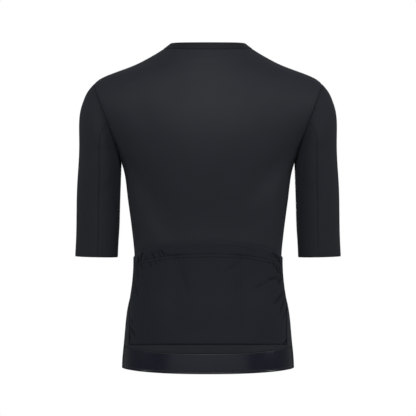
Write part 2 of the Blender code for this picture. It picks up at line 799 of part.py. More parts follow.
def rounded_box(width, length, radius, steps=4):
    """The outline of a rectangle with round corners, centred."""
    outline = []
    for quarter, (side, end) in enumerate(((1, 1), (-1, 1), (-1, -1), (1, -1))):
        for step in range(steps + 1):
            turn = math.pi / 2 * (quarter + step / steps)
            outline.append(
                (
                    side * (width / 2 - radius) + radius * math.cos(turn),
                    end * (length / 2 - radius) + radius * math.sin(turn),
                )
            )
    return outline


def raised(outline, by):
    return [(x, z + by) for x, z in outline]


def combined(base, tools, operation):
    """base after a Boolean with each of the tools, which then go."""
    for tool in tools:
        cut = base.modifiers.new(tool.name, "BOOLEAN")
        cut.operation = operation
        cut.object = tool
        cut.solver = "EXACT"
    bpy.context.view_layer.update()
    evaluated = base.evaluated_get(bpy.context.evaluated_depsgraph_get())
    mesh = bpy.data.meshes.new_from_object(evaluated)
    base.modifiers.clear()
    base.data = mesh
    for tool in tools:
        bpy.data.objects.remove(tool)
    return base


def build_slider(finish):
    """Two plates joined by a post that parts the tapes, with a bail for the pull tab in front."""
    plate = rounded_box(SLIDER_WIDTH, SLIDER_LENGTH, SLIDER_WIDTH * 0.3)
    front = prism("zip_slider", plate, SLIDER_LIFT, SLIDER_LIFT + SLIDER_PLATE)
    back_face = -TAPE_BACK - 2 * SEAM_GAP
    back = prism("slider_back", plate, back_face - SLIDER_PLATE, back_face)
    post_middle = (SLIDER_LENGTH - POST_LENGTH) / 2 - SEAM_GAP
    post = prism(
        "slider_post",
        raised(rounded_box(POST_WIDTH, POST_LENGTH, POST_LENGTH * 0.4, 2), post_middle),
        back_face - SLIDER_PLATE / 2,
        SLIDER_LIFT + SLIDER_PLATE / 2,
    )
    top = SLIDER_LIFT + SLIDER_PLATE
    bail = prism(
        "slider_bail",
        rounded_box(BAIL_WIDTH, BAIL_LENGTH, BAIL_WIDTH * 0.4, 2),
        top - SLIDER_PLATE / 2,
        top + BAIL_HEIGHT,
    )
    eye = prism(
        "bail_eye",
        rounded_box(2 * BAIL_WIDTH, BAIL_LENGTH - 2 * BAIL_BAR, BAIL_BAR * 0.2, 1),
        top - SLIDER_PLATE / 4,
        top + BAIL_HEIGHT - BAIL_BAR,
    )
    bail = combined(bail, [eye], "DIFFERENCE")
    slider = combined(front, [back, post, bail], "UNION")
    slider.matrix_world = slider_frame()
    finish_piece(slider, finish)


def build_pull_tab(finish):
    """A plate with a window for the bail, whose bar turns in the bail. Its origin is the hinge."""
    bail_space = BAIL_HEIGHT - BAIL_BAR
    hinge_out = SLIDER_LIFT + SLIDER_PLATE + bail_space / 2
    frame = slider_frame()
    hinge = frame @ Vector((0, hinge_out, 0))
    outline = raised(tab_outline(), (TAB_BAR - TAB_LENGTH) / 2)
    opening = rounded_box(TAB_WINDOW_WIDTH, TAB_WINDOW_LENGTH, TAB_WINDOW_WIDTH * 0.25, 2)
    opening = raised(opening, -(TAB_BAR + TAB_WINDOW_LENGTH) / 2)
    plate = prism("zip_pull_tab", outline, -TAB_PLATE / 2, TAB_PLATE / 2)
    window = prism("tab_window", opening, -TAB_PLATE, TAB_PLATE)
    tab = combined(plate, [window], "DIFFERENCE")
    tab.matrix_world = Matrix.Translation(hinge) @ Matrix.Rotation(tab_rest_turn(hinge), 4, "X")
    finish_piece(tab, finish)


def tab_outline():
    """The tab's outline, centred: a little wider at its tip, which is round."""
    half = TAB_LENGTH / 2
    round_half = TAB_WIDTH / 2
    neck = round_half * 0.86
    corner = round_half * 0.2
    tip = [
        (round_half * math.cos(turn), round_half * (1 + math.sin(turn)) - half)
        for turn in np.linspace(0, -math.pi, 9)
    ]
    top = [(-neck, half - corner), (corner - neck, half), (neck - corner, half), (neck, half - corner)]
    return top + tip


def tab_rest_turn(hinge):
    """The turn about X that lays the tab along the front, its tip just off the chain."""
    angle = -math.pi / 2
    reach = TAB_LENGTH - TAB_BAR / 2
    z = hinge.z
    for _ in range(20):
        tip = body_point(angle, z) + (CHAIN_PROUD + TAB_TIP_GAP + TAB_PLATE / 2) * body_normal(angle, z)
        tip = Vector(tip)
        z -= reach - (tip - hinge).length
    down = (tip - hinge).normalized()
    return math.atan2(down.y, -down.z)


def finish_piece(piece, finish):
    piece.data.materials.clear()
    piece.data.materials.append(finish)
    piece.data.shade_smooth()
    piece.data.set_sharp_from_angle(angle=math.radians(35))


# ---------------------------------------------------------------------------------------------
# Build
# ---------------------------------------------------------------------------------------------


def clear_scene():
    for old in list(bpy.data.objects):
        bpy.data.objects.remove(old)


def main():
    clear_scene()
    cloth = material("jersey_cloth", (0.018, 0.019, 0.022), 0.62)
    sleeve_cloth = material("sleeve_cloth", (0.016, 0.019, 0.021), 0.66)
    band = material("hem_elastic", (0.014, 0.015, 0.022), 0.45)
    pocket_cloth = material("pocket_cloth", (0.017, 0.019, 0.021), 0.64)
    coil = material("zip_coil", (0.012, 0.012, 0.013), 0.40)
    metal = material("zip_metal", (0.030, 0.030, 0.032), 0.35, metallic=1.0)
    build_back(cloth)
    build_fronts(cloth)
    build_collar(cloth)
    build_hem_band(band)
    build_sleeves(sleeve_cloth)
    build_pocket_panel(pocket_cloth)
    build_tapes(band)
    build_chain(coil)
    build_slider(metal)
    build_pull_tab(metal)


main()
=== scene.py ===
# %% [markdown]
# # A cycling jersey, filled out as if it were worn
#
# The packed model gives every cut piece as a plain wall of cloth. This lesson puts a finer piece
# on each of them: thin shells with rounded edges and soft folds, the gathers of the pocket
# elastic, rows of stitches, the coil of the zip, and a finish for each cloth.

# %% Load the frame
import math
from collections import namedtuple

import bpy
import numpy as np
from mathutils import Matrix, Vector
from mathutils.bvhtree import BVHTree
from mathutils.kdtree import KDTree


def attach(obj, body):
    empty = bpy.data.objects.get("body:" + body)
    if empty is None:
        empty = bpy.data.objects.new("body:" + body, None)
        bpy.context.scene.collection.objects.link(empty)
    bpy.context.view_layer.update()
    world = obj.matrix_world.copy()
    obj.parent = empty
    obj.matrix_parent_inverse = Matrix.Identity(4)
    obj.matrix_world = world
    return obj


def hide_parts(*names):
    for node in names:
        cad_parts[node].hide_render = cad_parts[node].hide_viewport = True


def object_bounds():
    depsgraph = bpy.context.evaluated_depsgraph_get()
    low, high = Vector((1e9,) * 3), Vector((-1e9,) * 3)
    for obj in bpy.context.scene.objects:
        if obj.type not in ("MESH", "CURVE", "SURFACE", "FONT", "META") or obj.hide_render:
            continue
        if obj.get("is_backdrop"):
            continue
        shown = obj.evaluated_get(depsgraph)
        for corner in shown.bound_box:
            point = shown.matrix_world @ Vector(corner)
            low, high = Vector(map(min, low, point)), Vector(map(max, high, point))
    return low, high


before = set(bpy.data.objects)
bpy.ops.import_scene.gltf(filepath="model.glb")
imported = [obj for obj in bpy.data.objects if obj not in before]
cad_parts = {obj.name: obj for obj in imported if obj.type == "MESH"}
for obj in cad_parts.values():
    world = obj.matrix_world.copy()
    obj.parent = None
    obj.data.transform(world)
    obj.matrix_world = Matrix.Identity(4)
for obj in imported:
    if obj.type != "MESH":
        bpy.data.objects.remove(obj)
cad_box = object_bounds()
print("CAD box", cad_box)

# %% [markdown]
# ## The form of the body
#
# A close-fitting garment has no flat face, so it could be sculpted, or draped on a figure. It is
# drawn here as a stack of rounded ovals, one row of a table each, because then every seam can be
# named by a height and an angle, and each piece meets its neighbour exactly. The tables are those
# of the CAD model. The front, with the zip, faces -Y, and the wearer's left is +X.

# %% Tables of the body, in metres
BodyLevel = namedtuple("BodyLevel", "z half_width back front power")
BODY_LEVELS = [
    BodyLevel(-0.640, 0.1682, 0.1115, 0.1085, 2.35),
    BodyLevel(-0.600, 0.1664, 0.1090, 0.1075, 2.35),
    BodyLevel(-0.566, 0.1631, 0.1050, 0.1060, 2.35),
    BodyLevel(-0.535, 0.1604, 0.1005, 0.1045, 2.35),
    BodyLevel(-0.504, 0.1562, 0.0955, 0.1030, 2.35),
    BodyLevel(-0.473, 0.1491, 0.0905, 0.1015, 2.35),
    BodyLevel(-0.440, 0.1441, 0.0868, 0.1005, 2.35),
    BodyLevel(-0.406, 0.1431, 0.0850, 0.1005, 2.35),
    BodyLevel(-0.370, 0.1463, 0.0862, 0.1020, 2.35),
    BodyLevel(-0.330, 0.1512, 0.0910, 0.1055, 2.35),
    BodyLevel(-0.290, 0.1566, 0.0975, 0.1105, 2.35),
    BodyLevel(-0.255, 0.1608, 0.1035, 0.1150, 2.36),
    BodyLevel(-0.238, 0.1642, 0.1060, 0.1168, 2.37),
    BodyLevel(-0.225, 0.1683, 0.1075, 0.1177, 2.38),
    BodyLevel(-0.211, 0.1741, 0.1087, 0.1183, 2.40),
    BodyLevel(-0.195, 0.1825, 0.1094, 0.1184, 2.43),
    BodyLevel(-0.172, 0.1977, 0.1091, 0.1172, 2.46),
    BodyLevel(-0.145, 0.2165, 0.1063, 0.1135, 2.43),
    BodyLevel(-0.120, 0.2308, 0.1016, 0.1075, 2.32),
    BodyLevel(-0.098, 0.2360, 0.0962, 0.1000, 2.16),
    BodyLevel(-0.083, 0.2312, 0.0917, 0.0930, 2.03),
    BodyLevel(-0.070, 0.2216, 0.0872, 0.0856, 1.95),
    BodyLevel(-0.0585, 0.2062, 0.0828, 0.0780, 1.90),
    BodyLevel(-0.047, 0.1778, 0.0779, 0.0700, 1.90),
    BodyLevel(-0.034, 0.1435, 0.0720, 0.0600, 1.90),
    BodyLevel(-0.022, 0.1195, 0.0660, 0.0515, 1.92),
    BodyLevel(-0.010, 0.0985, 0.0592, 0.0440, 1.95),
    BodyLevel(0.000, 0.0835, 0.0550, 0.0390, 2.00),
    BodyLevel(0.012, 0.0690, 0.0505, 0.0350, 2.00),
    BodyLevel(0.030, 0.0520, 0.0450, 0.0300, 2.00),
]
SideSeam = namedtuple("SideSeam", "z y")
SIDE_SEAM = [
    SideSeam(-0.640, 0.056),
    SideSeam(-0.580, 0.051),
    SideSeam(-0.530, 0.041),
    SideSeam(-0.497, 0.027),
    SideSeam(-0.472, 0.014),
    SideSeam(-0.440, 0.004),
    SideSeam(-0.400, 0.000),
    SideSeam(-0.300, 0.000),
    SideSeam(-0.225, 0.000),
]
Level = namedtuple("Level", "side back front")
NECK_SEAM = Level(-0.0030, -0.0078, -0.0500)
COLLAR_TOP = Level(0.0087, 0.0060, -0.0365)
HEM_SEAM = Level(-0.580, -0.587, -0.578)
HEM = Level(-0.6215, -0.6243, -0.6195)
ARMHOLE_TOP_Z = -0.070
ARMHOLE_FOOT_Z = -0.225
ARMHOLE_BOW = 0.0026

CLOTH = 0.0012
BAND_CLOTH = 0.0014
COLLAR_CLOTH = 0.0018
POCKET_CLOTH = 0.0010
SEAM_GAP = 0.0003
ZIP_OPENING = 0.0033

print("levels of the body", len(BODY_LEVELS), "points of the side seam", len(SIDE_SEAM))

# %% [markdown]
# A table gives a few rows only. A natural cubic spline through each of its columns gives every
# height between them, with no kink that a light would show. Splines of Blender's own curves
# would do too, but this one is a function, so it can be asked at any height.


# %% Smooth curves through the tables
def spline(knots, values):
    """A natural cubic spline through a table's rows, as a function of numbers or arrays."""
    knots = np.asarray(knots, float)
    values = np.asarray(values, float)
    count = len(knots)
    step = np.diff(knots)
    slope = np.diff(values) / step
    system = np.eye(count)
    right = np.zeros(count)
    for i in range(1, count - 1):
        system[i, i - 1 : i + 2] = step[i - 1], 2 * (step[i - 1] + step[i]), step[i]
        right[i] = 6 * (slope[i] - slope[i - 1])
    bend = np.linalg.solve(system, right)

    def value(at):
        at = np.asarray(at, float)
        i = np.clip(np.searchsorted(knots, at) - 1, 0, count - 2)
        left = at - knots[i]
        rest = knots[i + 1] - at
        return (
            (bend[i] * rest**3 + bend[i + 1] * left**3) / (6 * step[i])
            + (values[i] / step[i] - bend[i] * step[i] / 6) * rest
            + (values[i + 1] / step[i] - bend[i + 1] * step[i] / 6) * left
        )

    return value


def smoothstep(low, high, x):
    t = np.clip((np.asarray(x, float) - low) / (high - low), 0.0, 1.0)
    return t * t * (3 - 2 * t)


def bump(distance, half_width):
    return np.exp(-((distance / half_width) ** 2))


def column_splines(rows, key=None):
    """A spline of each column of a table, over its column named key or over the rows' numbers."""
    knots = [getattr(row, key) for row in rows] if key else range(len(rows))
    names = [name for name in rows[0]._fields if name != key]
    return {name: spline(knots, [getattr(row, name) for row in rows]) for name in names}


BODY = column_splines(BODY_LEVELS, "z")
SEAM_Y = column_splines(SIDE_SEAM, "z")["y"]
print("half width at the chest", round(float(BODY["half_width"](ARMHOLE_FOOT_Z)), 4))

# %% [markdown]
# A point of the body is an angle round its axis and a height. The angle is 0 at the wearer's left
# side, 90 degrees at the centre back and -90 at the centre front. The outward direction comes
# from the gradient of the oval's equation, so shells and stitches can stand off the form evenly.


# %% Points of the body
def unit(vectors):
    return vectors / np.linalg.norm(vectors, axis=-1, keepdims=True)


def body_point(angle, z):
    angle, z = np.broadcast_arrays(np.asarray(angle, float), np.asarray(z, float))
    root = 2.0 / BODY["power"](z)
    across, along = np.cos(angle), np.sin(angle)
    depth = np.where(along >= 0, BODY["back"](z), BODY["front"](z))
    x = BODY["half_width"](z) * np.sign(across) * np.abs(across) ** root
    y = depth * np.sign(along) * np.abs(along) ** root
    return np.stack([x, y, z], axis=-1)


def body_normal(angle, z):
    angle, z = np.broadcast_arrays(np.asarray(angle, float), np.asarray(z, float))
    point = body_point(angle, z)
    x, y = point[..., 0], point[..., 1]
    behind = np.sin(angle) >= 0

    def terms(height):
        depth = np.where(behind, BODY["back"](height), BODY["front"](height))
        return BODY["power"](height), BODY["half_width"](height), depth

    def oval(height):
        power, width, depth = terms(height)
        return np.abs(x / width) ** power + np.abs(y / depth) ** power

    power, width, depth = terms(z)
    step = 0.0005
    slope_x = power * np.sign(x) * np.abs(x / width) ** (power - 1) / width
    slope_y = power * np.sign(y) * np.abs(y / depth) ** (power - 1) / depth
    slope_z = (oval(z + step) - oval(z - step)) / (2 * step)
    return unit(np.stack([slope_x, slope_y, slope_z], axis=-1))


def angle_at_x(x, z):
    share = np.clip(np.abs(x) / BODY["half_width"](z), 0.0, 1.0)
    return np.arccos(share ** (BODY["power"](z) / 2))


def angle_at(x, z, front=False):
    """The angle of the body's point with this x and z, on the back or on the front."""
    angle = angle_at_x(x, z) * (-1 if front else 1)
    return np.where(np.asarray(x) < 0, math.pi - angle, angle)


def angle_at_y(y, z):
    share = np.clip(np.abs(y) / BODY["back"](z), 0.0, 1.0)
    return np.sign(y) * np.arcsin(share ** (BODY["power"](z) / 2))


WAIST_Z = -0.406
print("side of the waist", np.round(body_point(0.0, WAIST_Z), 4))

# %% [markdown]
# ## Rows and columns with close-set edges
#
# A shell is a grid of points. Cloth turns in sharply where it is sewn, so the grid needs lines
# close to its edges and few elsewhere. Each run of cloth gets a few extra lines at fixed
# distances from both of its ends.

# %% Rows of the body
EDGE_LINES = np.array([0.0, 0.0003, 0.0008, 0.0016, 0.0030])
BodyRow = namedtuple("BodyRow", "side_z back_angle front_angle back_dip front_dip")
LOWER_ROWS = 84
ARMHOLE_ROWS = 44
SHOULDER_ROWS = 22
HEM_DIP_POWER = 2
NECK_DIP_POWER = 1.5


def with_edges(length, steps, both=True):
    """Distances from 0 to length in even steps, with closer ones at one end or at both."""
    last = EDGE_LINES[-1]
    if not both:
        return np.concatenate([EDGE_LINES[:-1], np.linspace(last, length, steps + 1)])
    middle = np.linspace(last, length - last, steps + 1)
    return np.concatenate([EDGE_LINES[:-1], middle, length - EDGE_LINES[-2::-1]])


def armhole_xz(turn):
    """x, z on the armhole: turn is 0 at the shoulder and 180 degrees at the underarm."""
    share = (1 - np.cos(turn)) / 2
    top, foot = BODY["half_width"](ARMHOLE_TOP_Z), BODY["half_width"](ARMHOLE_FOOT_Z)
    x = top + (foot - top) * share - ARMHOLE_BOW * np.sin(math.pi * share**2)
    return x, ARMHOLE_TOP_Z + (ARMHOLE_FOOT_Z - ARMHOLE_TOP_Z) * share


def body_rows():
    """Rows that the back and the fronts share, from the hem seam up to the neck seam."""
    rows = []
    rise = ARMHOLE_FOOT_Z - HEM_SEAM.side
    for climbed in with_edges(rise, LOWER_ROWS, both=False)[:-1]:
        z = HEM_SEAM.side + climbed
        fade = (1 - climbed / rise) ** HEM_DIP_POWER
        angle = float(angle_at_y(SEAM_Y(z), z))
        dips = ((HEM_SEAM.back - HEM_SEAM.side) * fade, (HEM_SEAM.front - HEM_SEAM.side) * fade)
        rows.append(BodyRow(z, angle, angle, *dips))
    turns = np.linspace(math.pi, 0.0, ARMHOLE_ROWS + 1)
    above = [(z, float(angle_at_x(x, z))) for x, z in map(armhole_xz, turns)]
    shoulder = with_edges(NECK_SEAM.side - ARMHOLE_TOP_Z, SHOULDER_ROWS, both=False)
    above += [(NECK_SEAM.side - left, 0.0) for left in shoulder[-2::-1]]
    for z, angle in above:
        climb = (z - ARMHOLE_FOOT_Z) / (NECK_SEAM.side - ARMHOLE_FOOT_Z)
        back = (NECK_SEAM.back - NECK_SEAM.side) * climb**NECK_DIP_POWER
        front = (NECK_SEAM.front - NECK_SEAM.side) * climb**NECK_DIP_POWER
        rows.append(BodyRow(z, angle, -angle, back, front))
    return rows


print("body rows", len(body_rows()))

# %% [markdown]
# A row's columns are angles, but equal angles aren't equal lengths of cloth. So a row is first
# measured along its curve, and its columns are set at distances on that measure. At the end each
# edge is drawn in by a hair, so that two pieces sewn together never share a face.

# %% Columns of the body
ARC_SAMPLES = 900


def row_height(row, angle, power=1.0):
    """The height of a row at an angle: side_z at its start, with the dip at the centre."""
    behind = np.sin(angle) >= 0
    start = np.where(behind, row.back_angle, row.front_angle)
    dip = np.where(behind, row.back_dip, row.front_dip)
    low = np.sin(start) ** 2
    return row.side_z + dip * np.clip((np.sin(angle) ** 2 - low) / (1 - low), 0.0, 1.0) ** power


def run_along(points):
    """The length of a line up to each of its points."""
    return np.concatenate([[0], np.cumsum(np.linalg.norm(np.diff(points, axis=0), axis=1))])


def arc(start, end, height):
    """Angles from start to end, and the length of cloth up to each of them."""
    angles = np.linspace(start, end, ARC_SAMPLES)
    return angles, run_along(body_point(angles, height(angles)))


def angles_along(start, end, steps, height):
    """Angles from start to end, evenly spaced over the cloth with closer ones at the ends."""
    angles, run = arc(start, end, height)
    return np.interp(with_edges(run[-1], steps), run, angles)


def pulled_in(points, gap=0.00002):
    """A grid with each edge drawn in by gap, so that pieces stay apart at their seams."""
    out = points.copy()
    for edge, inner in ((0, 1), (-1, -2)):
        for grid in (out, out.transpose(1, 0, 2)):
            step = grid[inner] - grid[edge]
            grid[edge] += step * gap / np.linalg.norm(step, axis=-1, keepdims=True)
    return out


print("hem seam round", round(arc(0, 2 * math.pi, lambda a: HEM_SEAM.side)[1][-1], 3))

# %% [markdown]
# ## Folds
#
# Worn cloth has soft drag lines where it is pulled, such as from the armholes across the back and
# above the hem. They could be simulated, but a garment with no wearer has to keep one pose, so
# each fold is listed one by one. A row of the table gives a fold's two ends, how far it bows
# sideways, its height, which is negative for a trough, and its half width. Its relief is a sum
# of round bumps along its line, so it swells from nothing and dies away again.

# %% Folds, one by one
Fold = namedtuple("Fold", "x0 z0 x1 z1 bow height half_width")
BACK_FOLDS = [
    Fold(0.1780, -0.1500, 0.0900, -0.3350, 0.012, -0.0046, 0.0250),
    Fold(0.1250, -0.2300, 0.0750, -0.3500, 0.006, -0.0074, 0.0270),
    Fold(-0.1700, -0.1750, -0.0900, -0.2700, -0.010, -0.0034, 0.0240),
    Fold(-0.1300, -0.2150, -0.0800, -0.3050, -0.004, -0.0064, 0.0250),
    Fold(0.1450, -0.0950, 0.0950, -0.2050, 0.004, -0.0036, 0.0300),
    Fold(-0.1500, -0.1000, -0.1050, -0.1950, -0.004, -0.0024, 0.0300),
    Fold(0.0450, -0.0700, 0.0250, -0.2300, 0.000, 0.0022, 0.0380),
    Fold(-0.0500, -0.0700, -0.0350, -0.2200, 0.000, 0.0020, 0.0380),
    Fold(-0.1350, -0.2700, -0.1150, -0.3700, 0.004, 0.0024, 0.0200),
    Fold(0.1300, -0.3100, 0.0550, -0.3750, 0.004, -0.0014, 0.0150),
    Fold(-0.1350, -0.3000, -0.0600, -0.3600, -0.004, -0.0012, 0.0160),
    Fold(0.1000, -0.3420, -0.1000, -0.3420, 0.000, -0.0030, 0.0400),
    Fold(-0.1050, -0.0400, -0.1860, -0.0720, 0.002, -0.0011, 0.0055),
    Fold(0.1150, -0.0440, 0.1860, -0.0760, -0.002, -0.0010, 0.0060),
]
FRONT_FOLDS = [
    Fold(0.1800, -0.1450, 0.0900, -0.2500, 0.008, -0.0040, 0.0220),
    Fold(-0.1780, -0.1500, -0.0850, -0.2650, -0.008, -0.0036, 0.0230),
    Fold(0.1380, -0.3300, 0.0500, -0.4000, 0.006, -0.0028, 0.0180),
    Fold(-0.1400, -0.3450, -0.0450, -0.4050, -0.006, -0.0030, 0.0180),
    Fold(0.1350, -0.4300, 0.0600, -0.4650, 0.003, -0.0022, 0.0140),
    Fold(-0.1330, -0.4150, -0.0700, -0.4600, -0.003, -0.0020, 0.0150),
    Fold(0.1450, -0.5200, 0.0800, -0.5600, -0.003, 0.0012, 0.0120),
    Fold(-0.1450, -0.5100, -0.0850, -0.5550, 0.003, 0.0012, 0.0120),
]
FOLD_STEP = 0.004
FOLD_ENDS = 0.6
HEM_HOLD = (-0.592, -0.565)
NECK_HOLD = (-0.045, -0.028)
ZIP_HOLD = (0.012, 0.035)


def between(first, last, share):
    return first + (last - first) * share


def swell(count, power):
    """Shares of the way along a fold, and its strength there, which is 0 at both ends."""
    share = np.linspace(0, 1, count)
    return share, np.sin(math.pi * share) ** power


def fold_spine(fold, front):
    """Points along a fold's line on the body, and the fold's strength at each."""
    start, end = np.array([fold.x0, fold.z0]), np.array([fold.x1, fold.z1])
    length = np.linalg.norm(end - start)
    share, strength = swell(max(4, int(length / FOLD_STEP)), FOLD_ENDS)
    across = np.array([start[1] - end[1], end[0] - start[0]]) / length
    bow = fold.bow * np.sin(math.pi * share)[:, None] * across
    x, z = (between(start, end, share[:, None]) + bow).T
    return body_point(angle_at(x, z, front), z), strength


def ridge(points, spine, strength, height, half_width):
    """The lift at each point from a row of round bumps along a spine."""
    lift = np.zeros(points.shape[:-1])
    spacing = np.linalg.norm(np.diff(spine, axis=0), axis=1).mean()
    for centre, share in zip(spine, strength):
        lift += share * np.exp(-np.sum((points - centre) ** 2, axis=-1) / half_width**2)
    return height * lift * spacing / (half_width * math.sqrt(math.pi))


def body_folds(points):
    """The folds of the body at points on its form. They die out at the neck, the hem and the zip."""
    lift = np.zeros(points.shape[:-1])
    for folds, front in ((BACK_FOLDS, False), (FRONT_FOLDS, True)):
        for fold in folds:
            lift += ridge(points, *fold_spine(fold, front), fold.height, fold.half_width)
    x, y, z = points[..., 0], points[..., 1], points[..., 2]
    fade = smoothstep(*HEM_HOLD, z) * (1 - smoothstep(*NECK_HOLD, z))
    return lift * fade * np.where(y < 0, smoothstep(*ZIP_HOLD, np.abs(x)), 1.0)


print("folds", len(BACK_FOLDS) + len(FRONT_FOLDS))

# %% [markdown]
# ## Shells of cloth
#
# Cloth could be a single sheet with a Solidify modifier, but its edges would be square. A shell
# here is two grids, the outer and the inner face, joined round the rim. Near the rim the two
# faces close up in a half round, and the cloth sinks a little, as it does at a seam. Every point
# also keeps its distance from the rim as an attribute, which the finishes use for a painted shade
# along the seam, and a UV map in metres along the cloth, which the knit follows.

# %% Distances on the cloth
RIM_SAMPLE = 0.0004


def at_run(at, run, values):
    """Each column of values, read off where run reaches at."""
    return np.stack([np.interp(at, run, column) for column in values.T], axis=-1)


def rim_distance(grid, joined=0):
    """How far each point of a grid is from the grid's own rim. The sides of its first rows don't
    count where they are joined."""
    samples = []
    for rim in (grid[0], grid[-1], grid[joined:, 0], grid[joined:, -1]):
        run = run_along(rim)
        samples.append(at_run(np.union1d(run, np.arange(0, run[-1], RIM_SAMPLE)), run, rim))
    samples = np.concatenate(samples)
    tree = KDTree(len(samples))
    for i, point in enumerate(samples):
        tree.insert(point, i)
    tree.balance()
    flat = grid.reshape(-1, 3)
    return np.array([tree.find(point)[2] for point in flat]).reshape(grid.shape[:2])


def run_up(grid):
    """How far up the cloth each point of a grid is from the grid's first row."""
    return np.cumsum(np.linalg.norm(np.diff(grid, axis=0, prepend=grid[:1]), axis=2), axis=0)


def cloth_uv(grid):
    """Distances along the cloth: across from each row's middle, and up from its first row."""
    across = run_up(grid.transpose(1, 0, 2)).T
    return np.stack([across - across[:, -1:] / 2, run_up(grid)], axis=-1)


print("points on a rim are", RIM_SAMPLE, "m apart at most")

# %% [markdown]
# The faces are made from the numbers of the grids' points. Their order sets which way a face
# points, so one corner is tested, and all the faces are turned round if it points inwards. The
# pieces' outer grids are kept, because the stitches are found on them later.

# %% A wall of cloth from a grid
RIM_RADIUS = 0.0009
RIM_SINK = 0.0003
RIM_SINK_WIDTH = 0.0022
RIM_LEAST = 0.12
SHARP_RIM = math.radians(80)
Cloth = namedtuple("Cloth", "outer normals")
CLOTHS = {}


def grid_faces(rows, columns):
    """Faces of a closed wall between an outer and an inner grid of points."""
    count = rows * columns
    index = np.arange(count).reshape(rows, columns)

    def rim(line):
        return np.stack([line[:-1], line[1:], line[1:] + count, line[:-1] + count], axis=-1)

    a, b, c, d = index[:-1, :-1], index[:-1, 1:], index[1:, 1:], index[1:, :-1]
    outer = np.stack([a, b, c, d], axis=-1).reshape(-1, 4)
    low, high = rim(index[0])[:, ::-1], rim(index[-1])
    start, end = rim(index[:, 0]), rim(index[:, -1])[:, ::-1]
    return np.concatenate([outer, outer[:, ::-1] + count, low, high, start, end])


def grid_normals(grid, like):
    """The grid's own outward directions, on the side that like points to."""
    across = np.gradient(grid, axis=1)
    up = np.gradient(grid, axis=0)
    normal = unit(np.cross(across, up))
    flip = np.sign(np.sum(normal * like, axis=-1, keepdims=True))
    return normal * np.where(flip == 0, 1, flip)


def in_scene(name, data):
    made = bpy.data.objects.new(name, data)
    bpy.context.scene.collection.objects.link(made)
    return made


def shell(name, outer, normals, thickness, finish, joined=0, sink=RIM_SINK, radius=RIM_RADIUS, **extra):
    """A closed shell of cloth whose outer face is the given grid. Each extra grid of numbers
    becomes an attribute of its own."""
    normals = grid_normals(outer, normals)
    rim = rim_distance(outer, joined)
    close = np.clip(1 - rim / radius, 0.0, 1.0)
    half = np.maximum(np.sqrt(1 - close**2), RIM_LEAST)[..., None] * thickness / 2
    middle = outer - normals * (thickness / 2 + sink * bump(rim, RIM_SINK_WIDTH)[..., None])
    face = middle + normals * half
    points = np.concatenate([face.reshape(-1, 3), (middle - normals * half).reshape(-1, 3)])
    faces = grid_faces(*outer.shape[:2])
    if np.sum(np.cross(face[0, 1] - face[0, 0], face[1, 0] - face[0, 0]) * normals[0, 0]) < 0:
        faces = faces[:, ::-1]
    mesh = bpy.data.meshes.new(name)
    mesh.from_pydata(points.tolist(), [], faces.tolist())
    uv = np.tile(cloth_uv(outer).reshape(-1, 2), (2, 1))
    corners = np.empty(len(mesh.loops), int)
    mesh.loops.foreach_get("vertex_index", corners)
    mesh.uv_layers.new(name="UVMap").data.foreach_set("uv", uv[corners].ravel())
    for label, values in {"rim": rim, **extra}.items():
        kept = mesh.attributes.new(label, "FLOAT", "POINT")
        kept.data.foreach_set("value", np.tile(values.ravel(), 2))
    mesh.shade_smooth()
    mesh.set_sharp_from_angle(angle=SHARP_RIM)
    mesh.materials.append(finish)
    CLOTHS[name] = Cloth(face, normals)
    print(name, "triangles", 2 * len(faces))
    return in_scene(name, mesh)


def mirrored(points):
    return points * np.array([-1.0, 1.0, 1.0])


print("faces of a wall of 3 by 3 points", len(grid_faces(3, 3)))

# %% [markdown]
# ## Finishes
#
# Black sports cloth is never one flat black: the knit has columns and rows of loops, and the dye
# is a little uneven. The cloth is also given a painted shade where it turns into a seam. Shader
# nodes give all of this at the right scale on any surface, which an image would not. To keep the
# node trees readable, a small class wraps a node's output, so that a sum or product in Python adds
# the Math node that does it.


# %% Shader and geometry maths as Python
class Wire:
    """The output of a node. Python's operators on wires add Math nodes to their tree."""

    def __init__(self, tree, socket):
        self.tree = tree
        self.socket = socket

    def math(self, operation, *values):
        return self.tree.math(operation, self, *values)

    def __add__(self, other):
        return self.math("ADD", other)

    def __sub__(self, other):
        return self.math("SUBTRACT", other)

    def __rsub__(self, other):
        return self.tree.math("SUBTRACT", other, self)

    def __mul__(self, other):
        return self.math("MULTIPLY", other)

    def __truediv__(self, other):
        return self.math("DIVIDE", other)

    def wave(self, pitch=1.0):
        """Up from 0 to 1 and back once in each pitch, as a sine."""
        return (self * (2 * math.pi / pitch)).math("SINE") * 0.5 + 0.5

    __radd__ = __add__
    __rmul__ = __mul__


class Tree:
    """A node tree that is built one node at a time."""

    def __init__(self, nodes):
        self.nodes = nodes

    def add(self, kind, settings=None, inputs=None, out=0):
        """A node of this kind, with its settings first and then its sockets' values or links."""
        node = self.nodes.nodes.new(kind)
        for name, value in (settings or {}).items():
            setattr(node, name, value)
        for name, value in (inputs or {}).items():
            self.put(node.inputs[name], value)
        return Wire(self, node.outputs[out])

    def put(self, socket, value):
        if isinstance(value, Wire):
            self.nodes.links.new(value.socket, socket)
        else:
            socket.default_value = value

    def math(self, operation, *values):
        return self.add("ShaderNodeMath", {"operation": operation}, dict(enumerate(values)))


print("operators of a wire", [name for name in vars(Wire) if name.endswith("__")][2:])

# %% [markdown]
# A finish is one Principled shader, and only a few of its inputs vary over the surface. The
# methods below are what the finishes share: places along the cloth or in the frame, the numbers
# that the mesh keeps, a soft step, noise, dye and bump.

# %% A material and its shader
BLACK = (0.0, 0.0, 0.0, 1.0)
# The black of the painted shade in creases, beside seams and in the armpits.
SHADE_BLACK = (0.0005, 0.0005, 0.0008, 1.0)
BRIGHTEST = 1.5


